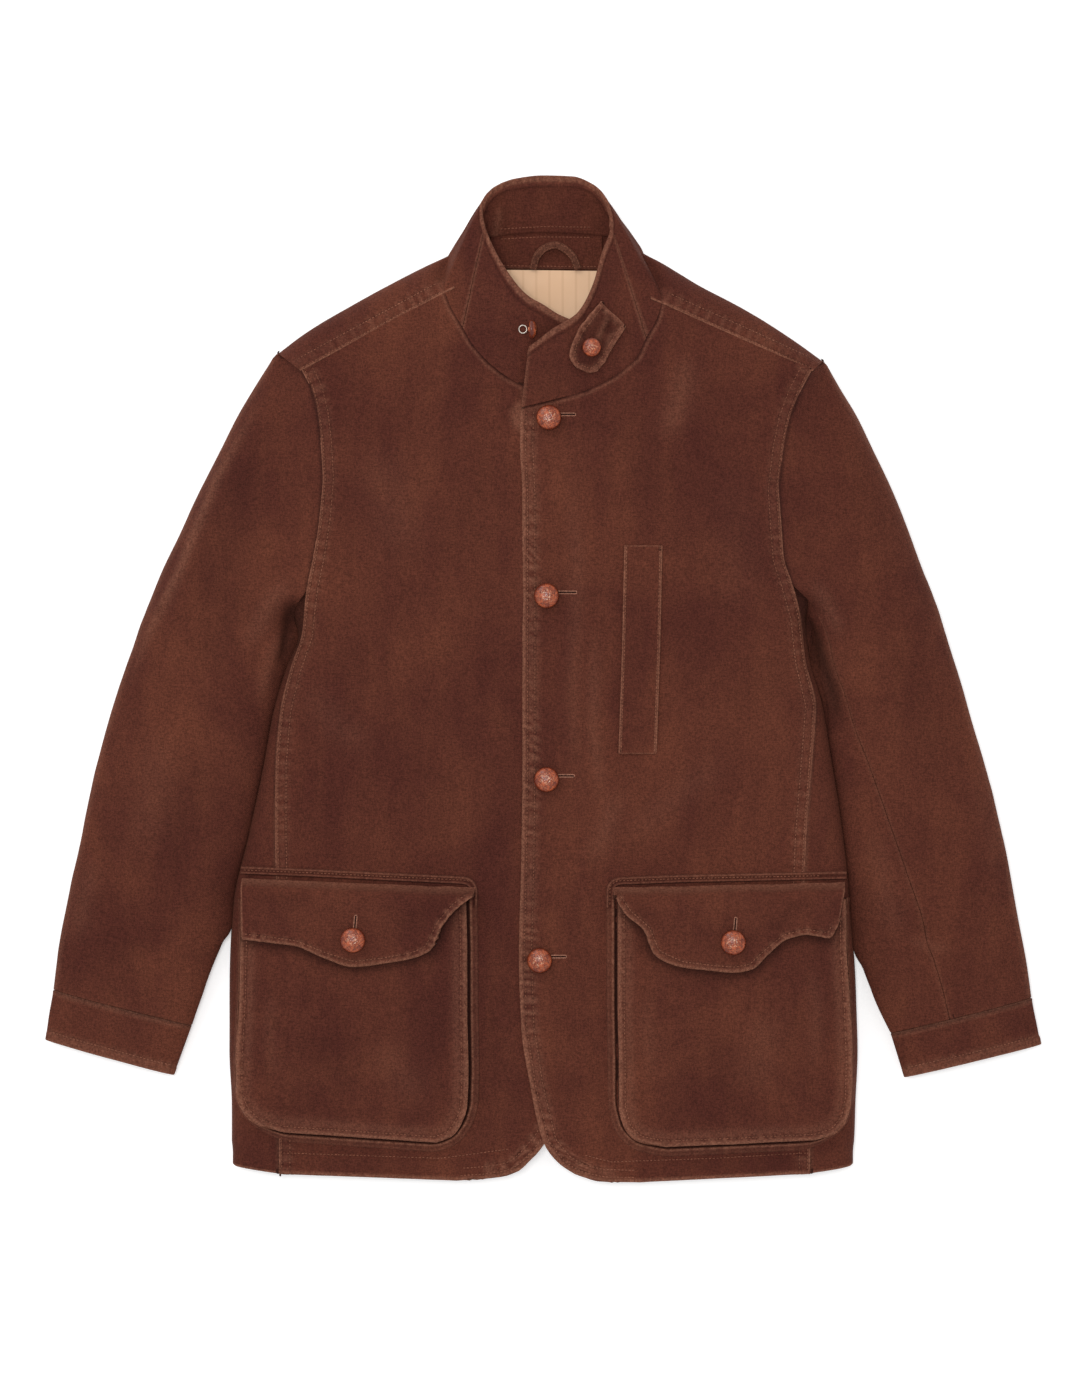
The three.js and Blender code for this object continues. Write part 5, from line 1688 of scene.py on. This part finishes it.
def button_mesh(name, radius, node, spot, up, turn=0.0):
    """A domed button of woven leather on its shank, with its middle at the foot's centre."""
    rings, around = 34, 72
    up = Vector(up).normalized()
    side = Vector((0, 1, 0)) - up * up.y
    side = side.normalized() if side.length > 0.1 else Vector((1, 0, 0))
    other = side.cross(up)
    points, near, groove, rim = [], [], [], []
    profile = [(0.22, 0.0), (0.24, 0.12), (0.82, 0.16), (0.93, 0.2), (0.99, 0.28), (1.0, 0.36)]
    for i in range(rings):
        angle = math.pi / 2 * i / (rings - 1)
        profile.append((math.cos(angle) ** 0.92, 0.4 + 0.52 * math.sin(angle)))
    for r, z in profile:
        for j in range(around):
            a = 2 * math.pi * j / around
            u, v = r * math.cos(a + turn), r * math.sin(a + turn)
            cell_u, cell_v = u * 2.3 + 0.5, v * 2.3 + 0.5
            over = (math.floor(cell_u) + math.floor(cell_v)) % 2
            across = (cell_v if over else cell_u) * 3
            cut = abs((across % 1) - 0.5) * 2
            edge = min(abs(cell_u - round(cell_u)), abs(cell_v - round(cell_v))) * 2
            dip = (1 - smooth((1 - cut) / 0.35)) * 0.5 + (1 - smooth(edge / 0.16)) * 0.8
            dip = float(min(dip, 1.0)) if z > 0.42 else 0.0
            lift = z * radius - 0.28 * dip
            place = Vector(spot) + side * (r * radius * math.cos(a)) + other * (r * radius * math.sin(a))
            points.append(tuple(place + up * lift))
            near.append((u * radius * MM, v * radius * MM, z * radius * MM))
            groove.append(dip)
            rim.append(r)
    faces = ring_faces(len(profile), around)
    piece = mesh_object(name, points, faces, LEATHER, {"near": near, "groove": groove, "rim": rim})
    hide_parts(node)


def slope_up(height, x, y, gap=2.0):
    """The direction in which a surface faces."""
    fall_x = height(x - gap, y) - height(x + gap, y)
    fall_y = height(x, y - gap) - height(x, y + gap)
    return fall_x / (2 * gap), fall_y / (2 * gap), 1


for i, (x, y) in enumerate(FRONT_BUTTONS):
    button_mesh(f"button_front_{i + 1}_dome", BUTTON_R, f"button_front_{i + 1}",
                (x, y, float(front_z(x, y)) + 0.7), slope_up(front_z, x, y), 0.5 + i)
for i, (name, (x, y)) in enumerate(FLAP_BUTTONS.items()):
    button_mesh(f"{name}_dome", BUTTON_R, name,
                (x, y, float(panel_z(x, y)) + FLAP_SEAT + FLAP_RISE + 0.35),
                slope_up(panel_z, x, y), 2.2 + i)
hit, up = below(tab.tree(), *TAB_BUTTON)
button_mesh("button_tab_dome", TAB_BUTTON_R, "button_tab", tuple(hit), tuple(up), 1.1)
low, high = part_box("button_collar")
centre = (np.array(low) + np.array(high)) / 2 / MM
button_mesh("button_collar_dome", COLLAR_BUTTON_R, "button_collar",
            (low[0] / MM, centre[1], centre[2]), (1, 0, 0), 0.3)


def wire_ring():
    """The ring of wire through the shank of the button that stands on edge."""
    low, high = (np.array(corner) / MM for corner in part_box("button_collar_shank"))
    middle = (low + high) / 2
    radius, wire = (high[0] - low[0]) / 2 - 0.7, 0.65
    points, around, across = [], 40, 10
    for i in range(around):
        a = 2 * math.pi * i / around
        for j in range(across):
            b = 2 * math.pi * j / across
            reach = radius + wire * math.cos(b)
            points.append((middle[0] + reach * math.cos(a), middle[1] + reach * math.sin(a),
                           middle[2] + wire * math.sin(b)))
    piece = mesh_object("button_collar_shank_wire", points, ring_faces(around, across, True), WIRE)
    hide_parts("button_collar_shank")


wire_ring()


# Floor, light and camera

FLOOR_HALF = 4000.0
FLOOR_Z = -0.6
corners = [(x * FLOOR_HALF, y * FLOOR_HALF, FLOOR_Z) for x, y in ((-1, -1), (1, -1), (1, 1), (-1, 1))]
floor = mesh_object("floor", corners, [(0, 1, 2, 3)], FLOOR)

world = bpy.data.worlds.new("studio")
world.use_nodes = True
backdrop = world.node_tree.nodes["Background"].inputs
backdrop["Color"].default_value = (1, 1, 1, 1)
backdrop["Strength"].default_value = 0.68
bpy.context.scene.world = world


def area_light(name, place, aim, size, power):
    light = bpy.data.lights.new(name, "AREA")
    light.shape = "SQUARE"
    light.size = size
    light.energy = power
    lamp = bpy.data.objects.new(name, light)
    lamp.location = place
    lamp.rotation_euler = (Vector(aim) - Vector(place)).to_track_quat("-Z", "Y").to_euler()
    bpy.context.collection.objects.link(lamp)


area_light("top", (-0.3, 0.25, 3.4), (0, 0, 0), 0.7, 40)
area_light("key", (-1.1, 1.7, 1.6), (0, 0, 0), 1.2, 11)

SENSOR_HEIGHT = 36.0  # mm
DISTANCE = 3.0  # metres from the camera to the level of the cloth
VIEW_HEIGHT = 1.2058  # metres that the picture's height covers at that level
camera_data = bpy.data.cameras.new("camera")
camera_data.sensor_fit = "VERTICAL"
camera_data.sensor_height = SENSOR_HEIGHT
camera_data.lens = SENSOR_HEIGHT * DISTANCE / VIEW_HEIGHT
camera = bpy.data.objects.new("camera", camera_data)
camera.location = (-0.0026, -0.0092, 3.03)
bpy.context.collection.objects.link(camera)
bpy.context.scene.camera = camera
bpy.context.scene.view_settings.view_transform = "Standard"
